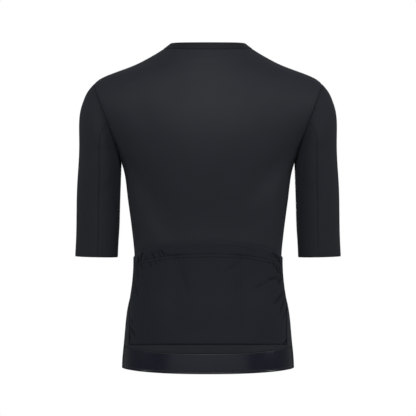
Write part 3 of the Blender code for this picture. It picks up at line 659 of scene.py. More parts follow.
class Finish(Tree):
    """A material, with its Principled shader at hand."""

    def __init__(self, name, **fixed):
        self.material = bpy.data.materials.new(name)
        self.material.use_nodes = True
        super().__init__(self.material.node_tree)
        self.shader = self.nodes.nodes["Principled BSDF"]
        for socket, value in fixed.items():
            self.shader.inputs[socket.replace("_", " ")].default_value = value

    def feed(self, socket, value):
        self.put(self.shader.inputs[socket], value)

    def axis(self, vector, which):
        return self.add("ShaderNodeSeparateXYZ", None, {0: vector}, out=which)

    def along_cloth(self):
        """Metres across and up the cloth, from its UV map."""
        uv = self.add("ShaderNodeUVMap", {"uv_map": "UVMap"})
        return self.axis(uv, 0), self.axis(uv, 1)

    def place(self):
        """Object coordinates, which are metres in the frame."""
        return self.add("ShaderNodeTexCoord", out=3)

    def kept(self, name):
        """A number that the mesh keeps at each point."""
        return self.add("ShaderNodeAttribute", {"attribute_name": name}, out=2)

    def step(self, value, low, high):
        """0 below low, 1 above high, smooth between."""
        inputs = {"Value": value, "From Min": low, "From Max": high}
        return self.add("ShaderNodeMapRange", {"interpolation_type": "SMOOTHSTEP"}, inputs)

    def noise(self, where, scale, detail=2.0):
        return self.add("ShaderNodeTexNoise", None, {"Vector": where, "Scale": scale, "Detail": detail})

    def mix(self, factor, first, second):
        settings = {"data_type": "RGBA"}
        return self.add("ShaderNodeMix", settings, {0: factor, 6: first, 7: second}, out=2)

    def dye(self, colour, tone):
        """A base colour of tone times the given colour. tone may be 0 up to BRIGHTEST."""
        full = tuple(BRIGHTEST * part for part in colour) + (1.0,)
        self.feed("Base Color", self.mix(tone * (1 / BRIGHTEST), BLACK, full))

    def paint_shade(self, share):
        """Painted shade: mix in a plain matt black by share, which darkens the cloth and takes its
        gloss.
        """
        matt = self.add("ShaderNodeBsdfDiffuse", None, {"Color": SHADE_BLACK})
        cloth = Wire(self, self.shader.outputs[0])
        mixed = self.add("ShaderNodeMixShader", None, {0: share, 1: cloth, 2: matt})
        self.put(self.nodes.nodes["Material Output"].inputs["Surface"], mixed)

    def bump(self, height, distance, under=None):
        inputs = {"Height": height, "Distance": distance}
        if under is not None:
            inputs["Normal"] = under
        return self.add("ShaderNodeBump", None, inputs)


print("a dye may be", BRIGHTEST, "times its colour")

# %% [markdown]
# ### Knitted cloth
#
# Fine jersey has about 20 columns of loops, or wales, to the centimetre. Each loop is a small V,
# so the height is a row of ribs whose phase leans to each side of a wale. The bump is a few
# hundredths of a millimetre: it breaks up the gloss without showing from afar. A slow noise makes
# the dye and the sheen uneven. The rim attribute gives a painted shade to the last millimetre at a
# seam. Another attribute mixes in a matt black as painted shade deep in a crease, beside a seam or
# in an armpit, where there is little for the cloth to reflect.

# %% Knit finishes
SHEEN_ROUGHNESS = 0.6
SHEEN_TINT = (0.80, 0.88, 1.0, 1.0)
LOOP_LEAN = 1.6
RIB_SHARE = 0.6
DETAIL = 3.0
PATCH_SCALE, PATCH_TONE, PATCH_GLOSS = 14.0, 0.20, 0.16
FUZZ_SCALE, FUZZ_DETAIL, FUZZ_TONE = 900.0, 1.0, 0.16
LOOP_TONE = 0.10
PLAIN_TONE = 0.95
# Painted shade beside a seam: the rim distances over which it fades in, and the tone at the rim.
SEAM_SHADE = (0.0002, 0.0013)
SEAM_SHADE_TONE = 0.80
# The most of that painted shade's matt black that is mixed in.
HOLLOW_SHADE = 0.80
# Painted shade and a dip along the stitching of the pocket panel.
SEWN_WIDTH = (0.0003, 0.0017)
SEWN_SHADE_TONE = 0.45
SEWN_DEPTH = 0.0004
CHANNEL_STITCHES = (-0.0031, 0.0033)
POCKET_DIVIDERS = (0.0595, -0.0640)
# Added to each divider's distance, so that its painted shade and dip are fainter.
DIVIDER_SOFTER = (0.0011, 0.0006)
Knit = namedtuple("Knit", "name colour roughness wale course relief gloss sheen")


def knit(cloth, sewn=None):
    """A knitted finish. sewn gives the distance from the stitching that pulls the cloth in, where the
    cloth gets painted shade and a dip.
    """
    sheen = {"Sheen_Roughness": SHEEN_ROUGHNESS, "Sheen_Tint": SHEEN_TINT}
    finish = Finish(cloth.name, Specular_IOR_Level=cloth.gloss, Sheen_Weight=cloth.sheen, **sheen)
    u, v = finish.along_cloth()
    lean = (u * (1 / cloth.wale)).math("PINGPONG", 0.5)
    rib = (u * (math.pi / cloth.wale)).math("SINE").math("ABSOLUTE")
    loop = (v * (1 / cloth.course) + lean * LOOP_LEAN).wave()
    height = rib * RIB_SHARE + loop * rib * (1 - RIB_SHARE)
    where = finish.place()
    patches = finish.noise(where, PATCH_SCALE, DETAIL) - 0.5
    fuzz = finish.noise(where, FUZZ_SCALE, FUZZ_DETAIL) - 0.5
    # Painted shade near a seam's rim.
    shade = finish.step(finish.kept("rim"), *SEAM_SHADE) * (1 - SEAM_SHADE_TONE) + SEAM_SHADE_TONE
    # Painted shade: a matt black mixed in where the mesh's painted-shade attribute is high.
    finish.paint_shade(finish.kept("hollow") * HOLLOW_SHADE)
    normal = finish.bump(height, cloth.relief)
    if sewn:
        # Painted shade and a dip along the stitching.
        flat = finish.step(sewn(finish, where), *SEWN_WIDTH)
        shade = shade * (flat * (1 - SEWN_SHADE_TONE) + SEWN_SHADE_TONE)
        normal = finish.bump(flat, SEWN_DEPTH, under=normal)
    tone = patches * PATCH_TONE + fuzz * FUZZ_TONE + loop * LOOP_TONE + PLAIN_TONE
    finish.dye(cloth.colour, tone * shade)
    finish.feed("Roughness", patches * PATCH_GLOSS + cloth.roughness)
    finish.feed("Normal", normal)
    return finish.material


def sewn_pockets(finish, where):
    """The distance from the nearest line of stitching on the pocket panel."""
    drop = finish.kept("from_stitching")
    x = finish.axis(where, 0)
    rows = [(drop - row).math("ABSOLUTE") for row in CHANNEL_STITCHES]
    above = (drop * -1.0).math("MAXIMUM", 0.0)
    for divider, softer in zip(POCKET_DIVIDERS, DIVIDER_SOFTER):
        rows.append((x - divider).math("ABSOLUTE") + above + softer)
    nearest = rows[0]
    for gap in rows[1:]:
        nearest = nearest.math("MINIMUM", gap)
    return nearest


JERSEY = Knit("body_knit", (0.0096, 0.0109, 0.0149), 0.62, 0.00050, 0.00042, 0.00004, 0.16, 0.04)
RIBBED = Knit("sleeve_knit", (0.0111, 0.0126, 0.0164), 0.76, 0.00070, 0.00045, 0.00005, 0.12, 0.03)
FOLDED = Knit("collar_knit", (0.0053, 0.0057, 0.0082), 0.66, 0.00050, 0.00042, 0.00004, 0.14, 0.05)
LIGHT = Knit("pocket_knit", (0.0052, 0.0068, 0.0106), 0.68, 0.00045, 0.00040, 0.00004, 0.14, 0.05)
BODY_KNIT, SLEEVE_KNIT, COLLAR_KNIT = knit(JERSEY), knit(RIBBED), knit(FOLDED)
POCKET_KNIT = knit(LIGHT, sewn_pockets)
print("knits", [cloth.name for cloth in (JERSEY, RIBBED, FOLDED, LIGHT)])

# %% [markdown]
# ### Elastic, tape, thread, nylon and painted metal
#
# The hem band is an elastic with a smooth satin face: fine ribs run round it, and its gloss is
# sharper than the knit's. The zip's tape is woven in a small twill. Thread is a twisted strand,
# nylon is smooth, and the slider is satin black paint that has worn a little.


# %% Other finishes
ELASTIC_GLOSS = 0.57
ELASTIC_RIB, ELASTIC_THREAD, ELASTIC_RELIEF = 0.0011, 0.0006, 0.00004
ELASTIC_RIB_SHARE, ELASTIC_RIB_TONE, ELASTIC_PLAIN_TONE = 0.8, 0.12, 0.92
ELASTIC_PATCH_SCALE, ELASTIC_PATCH_TONE, ELASTIC_PATCH_GLOSS = 22.0, 0.20, 0.10
ELASTIC_SEAM_SHADE_TONE = 0.6
ELASTIC_EDGE, ELASTIC_EDGE_MATT = (0.0003, 0.0010), 0.4
TWILL, YARN, TAPE_RELIEF = 0.0011, 0.0004, 0.00005
TWILL_SHARE, TWILL_TONE, YARN_TONE, TAPE_TONE = 0.6, 0.42, 0.14, 0.70
TWILL_GLOSS, TAPE_ROUGHNESS = 0.12, 0.55
SPECK_GLOSS = 0.20


def elastic(name, colour, roughness):
    finish = Finish(name, Specular_IOR_Level=ELASTIC_GLOSS)
    u, v = finish.along_cloth()
    ribs, threads = v.wave(ELASTIC_RIB), u.wave(ELASTIC_THREAD)
    patches = finish.noise(finish.place(), ELASTIC_PATCH_SCALE) - 0.5
    rim = finish.kept("rim")
    # Painted shade near the seams, as on the knit.
    shade = finish.step(rim, *SEAM_SHADE) * (1 - ELASTIC_SEAM_SHADE_TONE) + ELASTIC_SEAM_SHADE_TONE
    tone = patches * ELASTIC_PATCH_TONE + ribs * ELASTIC_RIB_TONE + ELASTIC_PLAIN_TONE
    finish.dye(colour, tone * shade)
    matt = (1.0 - finish.step(rim, *ELASTIC_EDGE)) * ELASTIC_EDGE_MATT
    finish.feed("Roughness", patches * ELASTIC_PATCH_GLOSS + matt + roughness)
    height = ribs * ELASTIC_RIB_SHARE + threads * (1 - ELASTIC_RIB_SHARE)
    finish.feed("Normal", finish.bump(height, ELASTIC_RELIEF))
    return finish.material


def woven_tape(name, colour):
    finish = Finish(name)
    u, v = finish.along_cloth()
    twill, yarns = (u + v).wave(TWILL), v.wave(YARN)
    finish.dye(colour, twill * TWILL_TONE + yarns * YARN_TONE + TAPE_TONE)
    finish.feed("Roughness", twill * TWILL_GLOSS + TAPE_ROUGHNESS)
    height = twill * TWILL_SHARE + yarns * (1 - TWILL_SHARE)
    finish.feed("Normal", finish.bump(height, TAPE_RELIEF))
    return finish.material


def speckled(name, colour, roughness, spread, scale, relief, **fixed):
    """A plain finish whose colour, gloss and surface vary a little, such as paint or thread."""
    finish = Finish(name, **fixed)
    grain = finish.noise(finish.place(), scale, DETAIL)
    finish.dye(colour, (grain - 0.5) * (spread * 2) + 1.0)
    finish.feed("Roughness", (grain - 0.5) * SPECK_GLOSS + roughness)
    finish.feed("Normal", finish.bump(grain, relief))
    return finish.material


STRAND = (0.009, 0.010, 0.013)
HEM_ELASTIC = elastic("hem_elastic", (0.0026, 0.0036, 0.0100), 0.20)
ZIP_TAPE = woven_tape("zip_tape", (0.0140, 0.0145, 0.0165))
THREAD = speckled("black_thread", STRAND, 0.60, 0.3, 2500.0, 0.00002, Specular_IOR_Level=0.25)
COIL = speckled("zip_coil", (0.0120, 0.0120, 0.0135), 0.32, 0.2, 1800.0, 0.00001)
METAL = speckled("zip_metal", (0.0200, 0.0200, 0.0220), 0.36, 0.3, 1200.0, 0.00001, Metallic=0.4)
print("other finishes", [made.name for made in (HEM_ELASTIC, ZIP_TAPE, THREAD, COIL, METAL)])

# %% [markdown]
# ## Back and fronts
#
# The back is one piece from the hem band to the collar, and each front runs from the side seam
# to the zip. All are stretches of the same form, so they share their rows. The folds fade out
# where the armhole seam holds the cloth, and the back and the sleeves get a painted shade beside
# the armhole seam, most of all in the armpit, so each point's distance from the armhole is needed
# first.

# %% Painted shade beside the armholes
SIDES = ("left", "right")
LOOP_POINTS = 240
CHUNKS = 40
# Painted shade by the armholes: its strength along the seam, and per piece its widths and armpit
# strength.
ARMHOLE_SHADE = 0.10
Hollow = namedtuple("Hollow", "seam_width armpit armpit_width")
BACK_PAINTED_SHADE = Hollow(0.0050, 0.35, 0.0260)


def armhole_point(turn):
    """The point of the body's form at a turn round the left armhole."""
    x, z = armhole_xz(turn)
    return body_point(angle_at_x(x, z) * np.where(np.sin(turn) >= 0, 1.0, -1.0), z)


def on_the_left(points):
    """The points brought over to the wearer's left, because the two armholes are alike."""
    return np.concatenate([np.abs(points[..., :1]), points[..., 1:]], axis=-1)


ARMHOLE_LOOP = armhole_point(np.linspace(0, 2 * math.pi, LOOP_POINTS, endpoint=False))


def from_armholes(points):
    """The distance of each point from the nearest armhole seam."""
    chunks = np.array_split(on_the_left(points).reshape(-1, 1, 3), CHUNKS)
    gaps = [np.linalg.norm(chunk - ARMHOLE_LOOP, axis=-1).min(axis=1) for chunk in chunks]
    return np.concatenate(gaps).reshape(points.shape[:-1])


def armhole_painted_shade(points, size):
    """The painted shade beside the armhole seam, most of all in the armpit, from 0 to 1."""
    to_armpit = np.linalg.norm(on_the_left(points) - armhole_point(math.pi), axis=-1)
    along = ARMHOLE_SHADE * bump(from_armholes(points), size.seam_width)
    return np.clip(along + size.armpit * bump(to_armpit, size.armpit_width), 0.0, 1.0)


print("armhole round", round(run_along(ARMHOLE_LOOP)[-1], 3))

# %% [markdown]
# Rows and columns come together in a grid of points on the form, and the folds move them along
# the form's outward direction. The right front isn't the left one mirrored, because their folds
# differ. The strip of the back that shows between the pockets and the hem band gets a painted
# shade too, strongest across its middle.

# %% Build the back and the fronts
BACK_COLUMNS = 120
FRONT_COLUMNS = 60
ARMHOLE_HOLD = (0.004, 0.045)
STRIP_SHADE = 0.16
STRIP_TOP = (-0.572, -0.566)
STRIP_ENDS = (0.040, 0.110)


def on_body(angles, heights):
    """Points on the folded form of the body, and the form's outward directions there."""
    points, normals = body_point(angles, heights), body_normal(angles, heights)
    lift = body_folds(points) * smoothstep(*ARMHOLE_HOLD, from_armholes(points))
    return points + lift[..., None] * normals, normals


def zip_angle(row):
    z = row_height(row, np.array(-math.pi / 2))
    return -float(angle_at_x(ZIP_OPENING, z))


def body_grid(first, last, steps):
    """A grid of the body's rows between two angles that depend on the row."""
    angles, heights = [], []
    for row in body_rows():
        angle = angles_along(first(row), last(row), steps, lambda a, row=row: row_height(row, a))
        angles.append(angle)
        heights.append(row_height(row, angle))
    return on_body(np.array(angles), np.array(heights))


back, back_outs = body_grid(
    lambda row: row.back_angle, lambda row: math.pi - row.back_angle, BACK_COLUMNS
)
# Painted shade on the strip of the back below the pockets, strongest low down in its middle.
strip = STRIP_SHADE * (1 - smoothstep(*STRIP_TOP, back[..., 2]))
strip = strip * (1 - smoothstep(*STRIP_ENDS, np.abs(back[..., 0])))
back_painted_shade = np.maximum(armhole_painted_shade(back, BACK_PAINTED_SHADE), strip)
back_piece = shell("back_cloth", pulled_in(back), back_outs, CLOTH, BODY_KNIT, hollow=back_painted_shade)
front_pieces = []
for side, turned in zip(SIDES, (lambda angle: angle, lambda angle: -math.pi - angle)):
    grid, outs = body_grid(
        lambda row: turned(row.front_angle), lambda row: turned(zip_angle(row)), FRONT_COLUMNS
    )
    front_pieces.append(shell("front_cloth_" + side, pulled_in(grid), outs, CLOTH, BODY_KNIT))

# %% [markdown]
# ## Collar and hem band
#
# Both are bands right round the body, open at the zip. The collar is folded over at its top, so
# it is thick and has a full, round edge. The hem band is an elastic that holds the hem in. A
# groove 4 mm above its lower edge is where its facing is turned up. Each row is laid out from the
# zip to the centre back and then mirrored, so the two halves are the same.

# %% Build the collar and the hem band
BAND_COLUMNS = 110
COLLAR_ROWS = 16
COLLAR_PROUD = 0.0003
HEM_ROWS = 30
HEM_GROOVE_UP = 0.0042
HEM_GROOVE_DEPTH = 0.0006
HEM_GROOVE_WIDTH = 0.0008
HEM_SINK = 0.00005
HEM_RIM_RADIUS = 0.0003
MIDDLE_CLEAR = 0.02


def line_row(line):
    seam = 0.0
    if line.side < ARMHOLE_FOOT_Z:
        seam = float(angle_at_y(SEAM_Y(line.side), line.side))
    return BodyRow(line.side, seam, seam, line.back - line.side, line.front - line.side)


def band_grid(lower, upper, steps):
    """A band round the body between two lines, from the zip's left edge to its right edge."""
    width = abs(upper.side - lower.side)
    angles, heights = [], []
    for share in with_edges(width, steps) / width:
        row = line_row(Level(*(between(low, high, share) for low, high in zip(lower, upper))))
        half = angles_along(
            zip_angle(row), math.pi / 2, BAND_COLUMNS, lambda a, row=row: row_height(row, a)
        )
        half = half[: 1 - len(EDGE_LINES)]
        half = np.append(half[half < math.pi / 2 - MIDDLE_CLEAR], math.pi / 2)
        angle = np.concatenate([half, math.pi - half[-2::-1]])
        angles.append(angle)
        heights.append(row_height(row, angle))
    return on_body(np.array(angles), np.array(heights))


collar, collar_outs = band_grid(NECK_SEAM, COLLAR_TOP, COLLAR_ROWS)
collar = pulled_in(collar + COLLAR_PROUD * collar_outs)
collar_piece = shell("collar_cloth", collar, collar_outs, COLLAR_CLOTH, COLLAR_KNIT)

hem, hem_outs = band_grid(HEM, HEM_SEAM, HEM_ROWS)
hem = pulled_in(hem)
groove = HEM_GROOVE_DEPTH * bump(run_up(hem) - HEM_GROOVE_UP, HEM_GROOVE_WIDTH)
hem = hem - groove[..., None] * hem_outs
hem_rim = {"sink": HEM_SINK, "radius": HEM_RIM_RADIUS}
hem_piece = shell("hem_band_cloth", hem, hem_outs, BAND_CLOTH, HEM_ELASTIC, **hem_rim)

# %% [markdown]
# ## Sleeves
#
# Each sleeve is one cut piece, closed by a seam down the back of the arm. Its rings start on the
# armhole's own curve and end level at the cuff. Its folds are rows of turn and ring instead of
# x and z, but they are raised in the same way.

# %% Tables of the sleeves
SleeveRing = namedtuple("SleeveRing", "outer_x outer_z inner_x inner_z back front")
SLEEVE_RINGS = [
    SleeveRing(0.2220, -0.0701, 0.1686, -0.2252, 0.0630, 0.0650),
    SleeveRing(0.2345, -0.0855, 0.1686, -0.2280, 0.0640, 0.0660),
    SleeveRing(0.2428, -0.1035, 0.1688, -0.2325, 0.0645, 0.0665),
    SleeveRing(0.2490, -0.1250, 0.1690, -0.2390, 0.0640, 0.0665),
    SleeveRing(0.2512, -0.1520, 0.1694, -0.2500, 0.0620, 0.0650),
    SleeveRing(0.2509, -0.1850, 0.1700, -0.2670, 0.0590, 0.0625),
    SleeveRing(0.2521, -0.2230, 0.1708, -0.2900, 0.0555, 0.0595),
    SleeveRing(0.2550, -0.2680, 0.1716, -0.3190, 0.0520, 0.0560),
    SleeveRing(0.2562, -0.3160, 0.1726, -0.3500, 0.0488, 0.0530),
    SleeveRing(0.2569, -0.3620, 0.1745, -0.3800, 0.0458, 0.0505),
    SleeveRing(0.2590, -0.4060, 0.1757, -0.4080, 0.0430, 0.0480),
]
SLEEVE = column_splines(SLEEVE_RINGS)
SLEEVE_END = len(SLEEVE_RINGS) - 1
SLEEVE_SEAM_LEAN = math.radians(7)
CAP_REACH = 3.0
ARMHOLE_STEP = np.array([SEAM_GAP, 0.0, -SEAM_GAP / 3])
SleeveFold = namedtuple("SleeveFold", "turn0 ring0 turn1 ring1 height half_width")
SLEEVE_FOLDS = [
    SleeveFold(130, 2.2, 60, 5.2, -0.0014, 0.012),
    SleeveFold(150, 4.6, 95, 6.8, -0.0012, 0.011),
    SleeveFold(200, 3.0, 280, 5.6, -0.0014, 0.012),
    SleeveFold(215, 5.4, 275, 7.2, -0.0012, 0.011),
]
print("rings of a sleeve", len(SLEEVE_RINGS), "folds", len(SLEEVE_FOLDS))

# %% [markdown]
# A ring is an oval with its own depth behind and in front. Over the first three rings it passes
# from the armhole's curve to the plain oval, which makes the sleeve's cap. The seam leans towards
# the body on its way down, as it does when an arm hangs.


# %% Points of a sleeve
def ring_point(turn, ring):
    """A point of a sleeve's oval ring: turn 0 outside, 90 degrees behind, 180 by the body."""
    share = (1 - np.cos(turn)) / 2
    x = SLEEVE["outer_x"](ring) * (1 - share) + SLEEVE["inner_x"](ring) * share
    z = SLEEVE["outer_z"](ring) * (1 - share) + SLEEVE["inner_z"](ring) * share
    depth = np.where(np.sin(turn) >= 0, SLEEVE["back"](ring), SLEEVE["front"](ring))
    return np.stack([x, depth * np.sin(turn), z], axis=-1)


def sleeve_point(turn, ring):
    """A point of the sleeve. Its first rings pass over from the armhole's curve to plain ovals."""
    turn, ring = np.broadcast_arrays(np.asarray(turn, float), np.asarray(ring, float))
    lean = SLEEVE_SEAM_LEAN * ring / SLEEVE_END
    plain = ring_point(turn + lean * np.sin(turn), ring)
    to_armhole = armhole_point(turn) + ARMHOLE_STEP - ring_point(turn, np.zeros_like(ring))
    return plain + to_armhole * (1 - smoothstep(0.0, CAP_REACH, ring))[..., None]


def sleeve_normal(turn, ring):
    step = 0.02
    low, high = np.clip(ring - step, 0, SLEEVE_END), np.clip(ring + step, 0, SLEEVE_END)
    down = sleeve_point(turn, high) - sleeve_point(turn, low)
    around = sleeve_point(turn + step, ring) - sleeve_point(turn - step, ring)
    return unit(np.cross(down, around))


print("a cuff's outer side", np.round(sleeve_point(0.0, SLEEVE_END), 4))

# %% [markdown]
# The left sleeve's grid runs round from its seam and down from the armhole to the cuff. The right
# sleeve is the left one mirrored, because both are cut from one pattern. On the last 5 cm up to
# the armhole the seam is pressed so flat that it doesn't show, so the rim isn't counted there: the
# cloth doesn't round or sink there, and it gets no painted seam shade.

# %% Build the sleeves
SLEEVE_COLUMNS = 96
SLEEVE_STEPS = 84
RING_CROWDING = 1.1
ARMHOLE_SPACING = 0.012
CUFF_SPACING = 0.036
SEAM_SPACING = 0.052
FOLD_POINTS = 24
CAP_HOLD = (0.6, 2.0)
CUFF_HOLD = (9.2, 9.8)
SMOOTH_ROWS = 26
SLEEVE_PAINTED_SHADE = Hollow(0.0080, 0.30, 0.0200)


def sleeve_grid():
    near_seam = EDGE_LINES / SEAM_SPACING
    middle = np.linspace(near_seam[-1], 2 * math.pi - near_seam[-1], SLEEVE_COLUMNS + 1)
    turns = np.concatenate([near_seam[:-1], middle, 2 * math.pi - near_seam[-2::-1]])
    start, near_cuff = EDGE_LINES / ARMHOLE_SPACING, SLEEVE_END - EDGE_LINES / CUFF_SPACING
    ends = np.array([start[-1], near_cuff[-1]]) ** (1 / RING_CROWDING)
    middle = np.linspace(*ends, SLEEVE_STEPS + 1) ** RING_CROWDING
    rings = np.concatenate([start[:-1], middle, near_cuff[-2::-1]])
    turn, ring = np.meshgrid(math.pi / 2 + turns, rings)
    points, normals = sleeve_point(turn, ring), sleeve_normal(turn, ring)
    lift = np.zeros(points.shape[:2])
    for fold in SLEEVE_FOLDS:
        share, strength = swell(FOLD_POINTS, FOLD_ENDS)
        around = np.radians(between(fold.turn0, fold.turn1, share))
        spine = sleeve_point(around, between(fold.ring0, fold.ring1, share))
        lift += ridge(points, spine, strength, fold.height, fold.half_width)
    lift *= smoothstep(*CAP_HOLD, ring) * (1 - smoothstep(*CUFF_HOLD, ring))
    return pulled_in(points + lift[..., None] * normals), normals


sleeve, sleeve_outs = sleeve_grid()
# The sleeve's painted shade beside the armhole seam and in the armpit.
sleeve_more = {"joined": SMOOTH_ROWS, "hollow": armhole_painted_shade(sleeve, SLEEVE_PAINTED_SHADE)}
sleeve_pieces = []
for side, turned in zip(SIDES, (np.copy, mirrored)):
    grid, outs = turned(sleeve), turned(sleeve_outs)
    made = shell("sleeve_cloth_" + side, grid, outs, CLOTH, SLEEVE_KNIT, **sleeve_more)
    sleeve_pieces.append(made)

# %% [markdown]
# ## Pocket panel
#
# Three pockets are one panel of light cloth on the back, divided by two lines of stitching. An
# elastic in a channel along its top draws the cloth in, so it gathers beside the side seams and
# lies flat across the middle. Noise would give gathers all alike. Here each gather and crease is
# a soft trough of its own: a row of the table gives its two ends, its depth and its half width.

# %% Tables of the pocket panel
PocketLine = namedtuple("PocketLine", "side back")
POCKET_TOP = PocketLine(-0.4070, -0.3755)
POCKET_STITCH = PocketLine(-0.4260, -0.4025)
POCKET_FOOT = PocketLine(-0.5735, -0.5680)
Crease = namedtuple("Crease", "x0 z0 x1 z1 depth half_width")
CREASES = [
    Crease(0.1302, -0.4030, 0.1316, -0.4205, 0.0017, 0.0023),
    Crease(0.1215, -0.3934, 0.1266, -0.4156, 0.0016, 0.0022),
    Crease(0.1150, -0.4038, 0.1160, -0.4115, 0.0010, 0.0016),
    Crease(0.1062, -0.3969, 0.0990, -0.4092, 0.0015, 0.0018),
    Crease(0.0951, -0.3939, 0.0884, -0.4062, 0.0012, 0.0015),
    Crease(0.0903, -0.3910, 0.0801, -0.4042, 0.0015, 0.0016),
    Crease(0.0778, -0.3985, 0.0721, -0.4036, 0.0008, 0.0015),
    Crease(0.1256, -0.4204, 0.1205, -0.4298, 0.0011, 0.0016),
    Crease(0.1097, -0.4151, 0.1048, -0.4246, 0.0012, 0.0014),
    Crease(0.1010, -0.4131, 0.0967, -0.4206, 0.0010, 0.0013),
    Crease(0.0923, -0.4091, 0.0884, -0.4148, 0.0008, 0.0013),
    Crease(0.1318, -0.4236, 0.1312, -0.4520, 0.0011, 0.0036),
    Crease(-0.1195, -0.3954, -0.1272, -0.4110, 0.0015, 0.0018),
    Crease(-0.1256, -0.3975, -0.1343, -0.4172, 0.0017, 0.0020),
    Crease(-0.1324, -0.4026, -0.1375, -0.4224, 0.0014, 0.0020),
    Crease(-0.1136, -0.3991, -0.1186, -0.4078, 0.0008, 0.0015),
    Crease(-0.1196, -0.4165, -0.1242, -0.4262, 0.0012, 0.0016),
    Crease(-0.1262, -0.4215, -0.1334, -0.4392, 0.0016, 0.0020),
    Crease(-0.1339, -0.4239, -0.1376, -0.4435, 0.0011, 0.0022),
    Crease(-0.1116, -0.4143, -0.1146, -0.4201, 0.0008, 0.0013),
    Crease(0.0578, -0.4145, 0.0377, -0.4803, 0.0010, 0.0075),
    Crease(-0.0618, -0.4145, -0.0304, -0.4370, 0.0006, 0.0045),
    Crease(-0.0627, -0.4410, -0.0540, -0.4786, 0.0007, 0.0065),
    Crease(0.1396, -0.4528, 0.1291, -0.4823, 0.0014, 0.0040),
    Crease(0.1447, -0.5248, 0.1405, -0.5358, 0.0010, 0.0022),
    Crease(0.1476, -0.5384, 0.1363, -0.5571, 0.0014, 0.0022),
    Crease(0.1491, -0.5518, 0.1469, -0.5666, 0.0013, 0.0020),
    Crease(-0.1395, -0.4440, -0.1110, -0.4500, 0.0012, 0.0030),
    Crease(-0.1190, -0.4475, -0.0870, -0.4665, 0.0007, 0.0028),
    Crease(-0.1400, -0.4470, -0.1300, -0.4580, 0.0012, 0.0024),
    Crease(-0.1490, -0.4677, -0.1222, -0.4970, 0.0015, 0.0036),
    Crease(-0.1458, -0.4818, -0.1345, -0.5160, 0.0013, 0.0026),
    Crease(-0.1517, -0.5013, -0.1387, -0.5281, 0.0012, 0.0034),
    Crease(-0.1518, -0.5628, -0.1400, -0.5742, 0.0014, 0.0018),
]
print("creases and gathers", len(CREASES))

# %% [markdown]
# The panel is held where it is sewn: along its foot, its side seams, its dividers and its channel.
# Between them it stands off the back by up to 2 mm, and it puffs out a little beside the side
# seams, where the elastic gathers it. Each of these fades over a smooth step between two
# distances or two levels.

# %% Relief of the pocket panel
POCKET_GAP = 0.0007
POCKET_LINE_POWER = 0.7
POCKET_STAND_OFF = 0.0020
POCKET_FOOT_STAND_OFF = 0.0010
POCKET_PUFF = 0.0013
POCKET_LEAST_GAP = 0.0004
DIVIDER_HOLD = 0.030
SEAM_HOLD = (0.020, 0.070)
CHANNEL_HOLD = (1.0, 1.3)
TOP_HOLD = (1.85, 2.0)
STAND_OFF_BY = 0.45
FOOT_HELD_TO = 0.2
FOOT_SIDE = 0.010
PUFF_SIDE = 0.015
GATHERED = 0.105
PUFFED = 0.06
CREASE_POINTS = 20
CREASE_ENDS = 0.4
CREASE_SIDE = 0.006
# Creases this deep get the full painted shade, if no wider than NARROW_CREASE.
DEEP_CREASE = 0.0022
NARROW_CREASE = 0.0022


def pocket_lift(points, to_seam, level):
    """How far the panel's inner face stands off the back. level is 0 at the foot, 1 at the
    stitching and 2 at the top."""
    to_divider = np.min([np.abs(points[..., 0] - x) for x in POCKET_DIVIDERS], axis=0)
    below = 1 - smoothstep(*CHANNEL_HOLD, level)
    sewn = (1 - smoothstep(0.0, DIVIDER_HOLD, to_divider)) * below
    from_foot = smoothstep(0.0, FOOT_HELD_TO, level)
    away = smoothstep(*SEAM_HOLD, to_seam) * smoothstep(0.0, STAND_OFF_BY, level)
    lift = POCKET_STAND_OFF * away * (1 - sewn)
    lift += POCKET_FOOT_STAND_OFF * (1 - from_foot) * smoothstep(0.0, FOOT_SIDE, to_seam)
    by_seam = smoothstep(0.0, PUFF_SIDE, to_seam) * (1 - smoothstep(PUFFED, GATHERED, to_seam))
    return POCKET_GAP + lift + POCKET_PUFF * by_seam * from_foot * (1 - smoothstep(*TOP_HOLD, level))


def pocket_creases(points):
    """The depth of the creases and gathers, each a soft trough between two points, and the painted
    shade at each point, from 0 to 1, which only narrow troughs get in full."""
    depth, hollow = np.zeros(points.shape[:-1]), np.zeros(points.shape[:-1])
    share, strength = swell(CREASE_POINTS, CREASE_ENDS)
    for crease in CREASES:
        x, z = between(crease.x0, crease.x1, share), between(crease.z0, crease.z1, share)
        spine = body_point(angle_at(x, z), z)
        sunk = ridge(points, spine, strength, crease.depth, crease.half_width)
        depth += sunk
        hollow += sunk / DEEP_CREASE * min(1.0, NARROW_CREASE / crease.half_width) ** 2
    return depth, np.clip(hollow, 0.0, 1.0)


print("deepest crease", max(crease.depth for crease in CREASES))

# %% [markdown]
# The panel is laid on the folded form of the back and moved out from it. Its columns are close-set
# where it is gathered, about 1 mm apart, because many gathers are only 3 mm wide. The side seams
# and the gathered ends at the channel get a painted shade. The top edge is folded and not sewn
# down, so it is left out of the rim's distance, and no painted seam shade is drawn there.

# %% Build the pocket panel
GATHERED_STEP = 0.0009
MIDDLE_COLUMNS = 84
POCKET_ROWS = 80
POCKET_ROW_CROWDING = 1.4
CHANNEL_ROWS = 22
# Painted shade along the panel's side seams and at the gathered ends of its channel.
SIDE_SHADE = 0.9
SIDE_SHADE_WIDTH = 0.0060
END_SHADE = 0.42
END_SHADE_LEVELS = 0.45
END_SHADE_WIDTH = 0.080
Pocket = namedtuple("Pocket", "points outs drop hollow edge")


def gathered_columns(length):
    """Distances across the panel, close-set beside both seams, where it is gathered."""
    half = np.append(EDGE_LINES[:-1], np.arange(EDGE_LINES[-1], GATHERED, GATHERED_STEP))
    middle = np.linspace(GATHERED, length - GATHERED, MIDDLE_COLUMNS + 1)
    return np.concatenate([half, middle, (length - half)[::-1]])


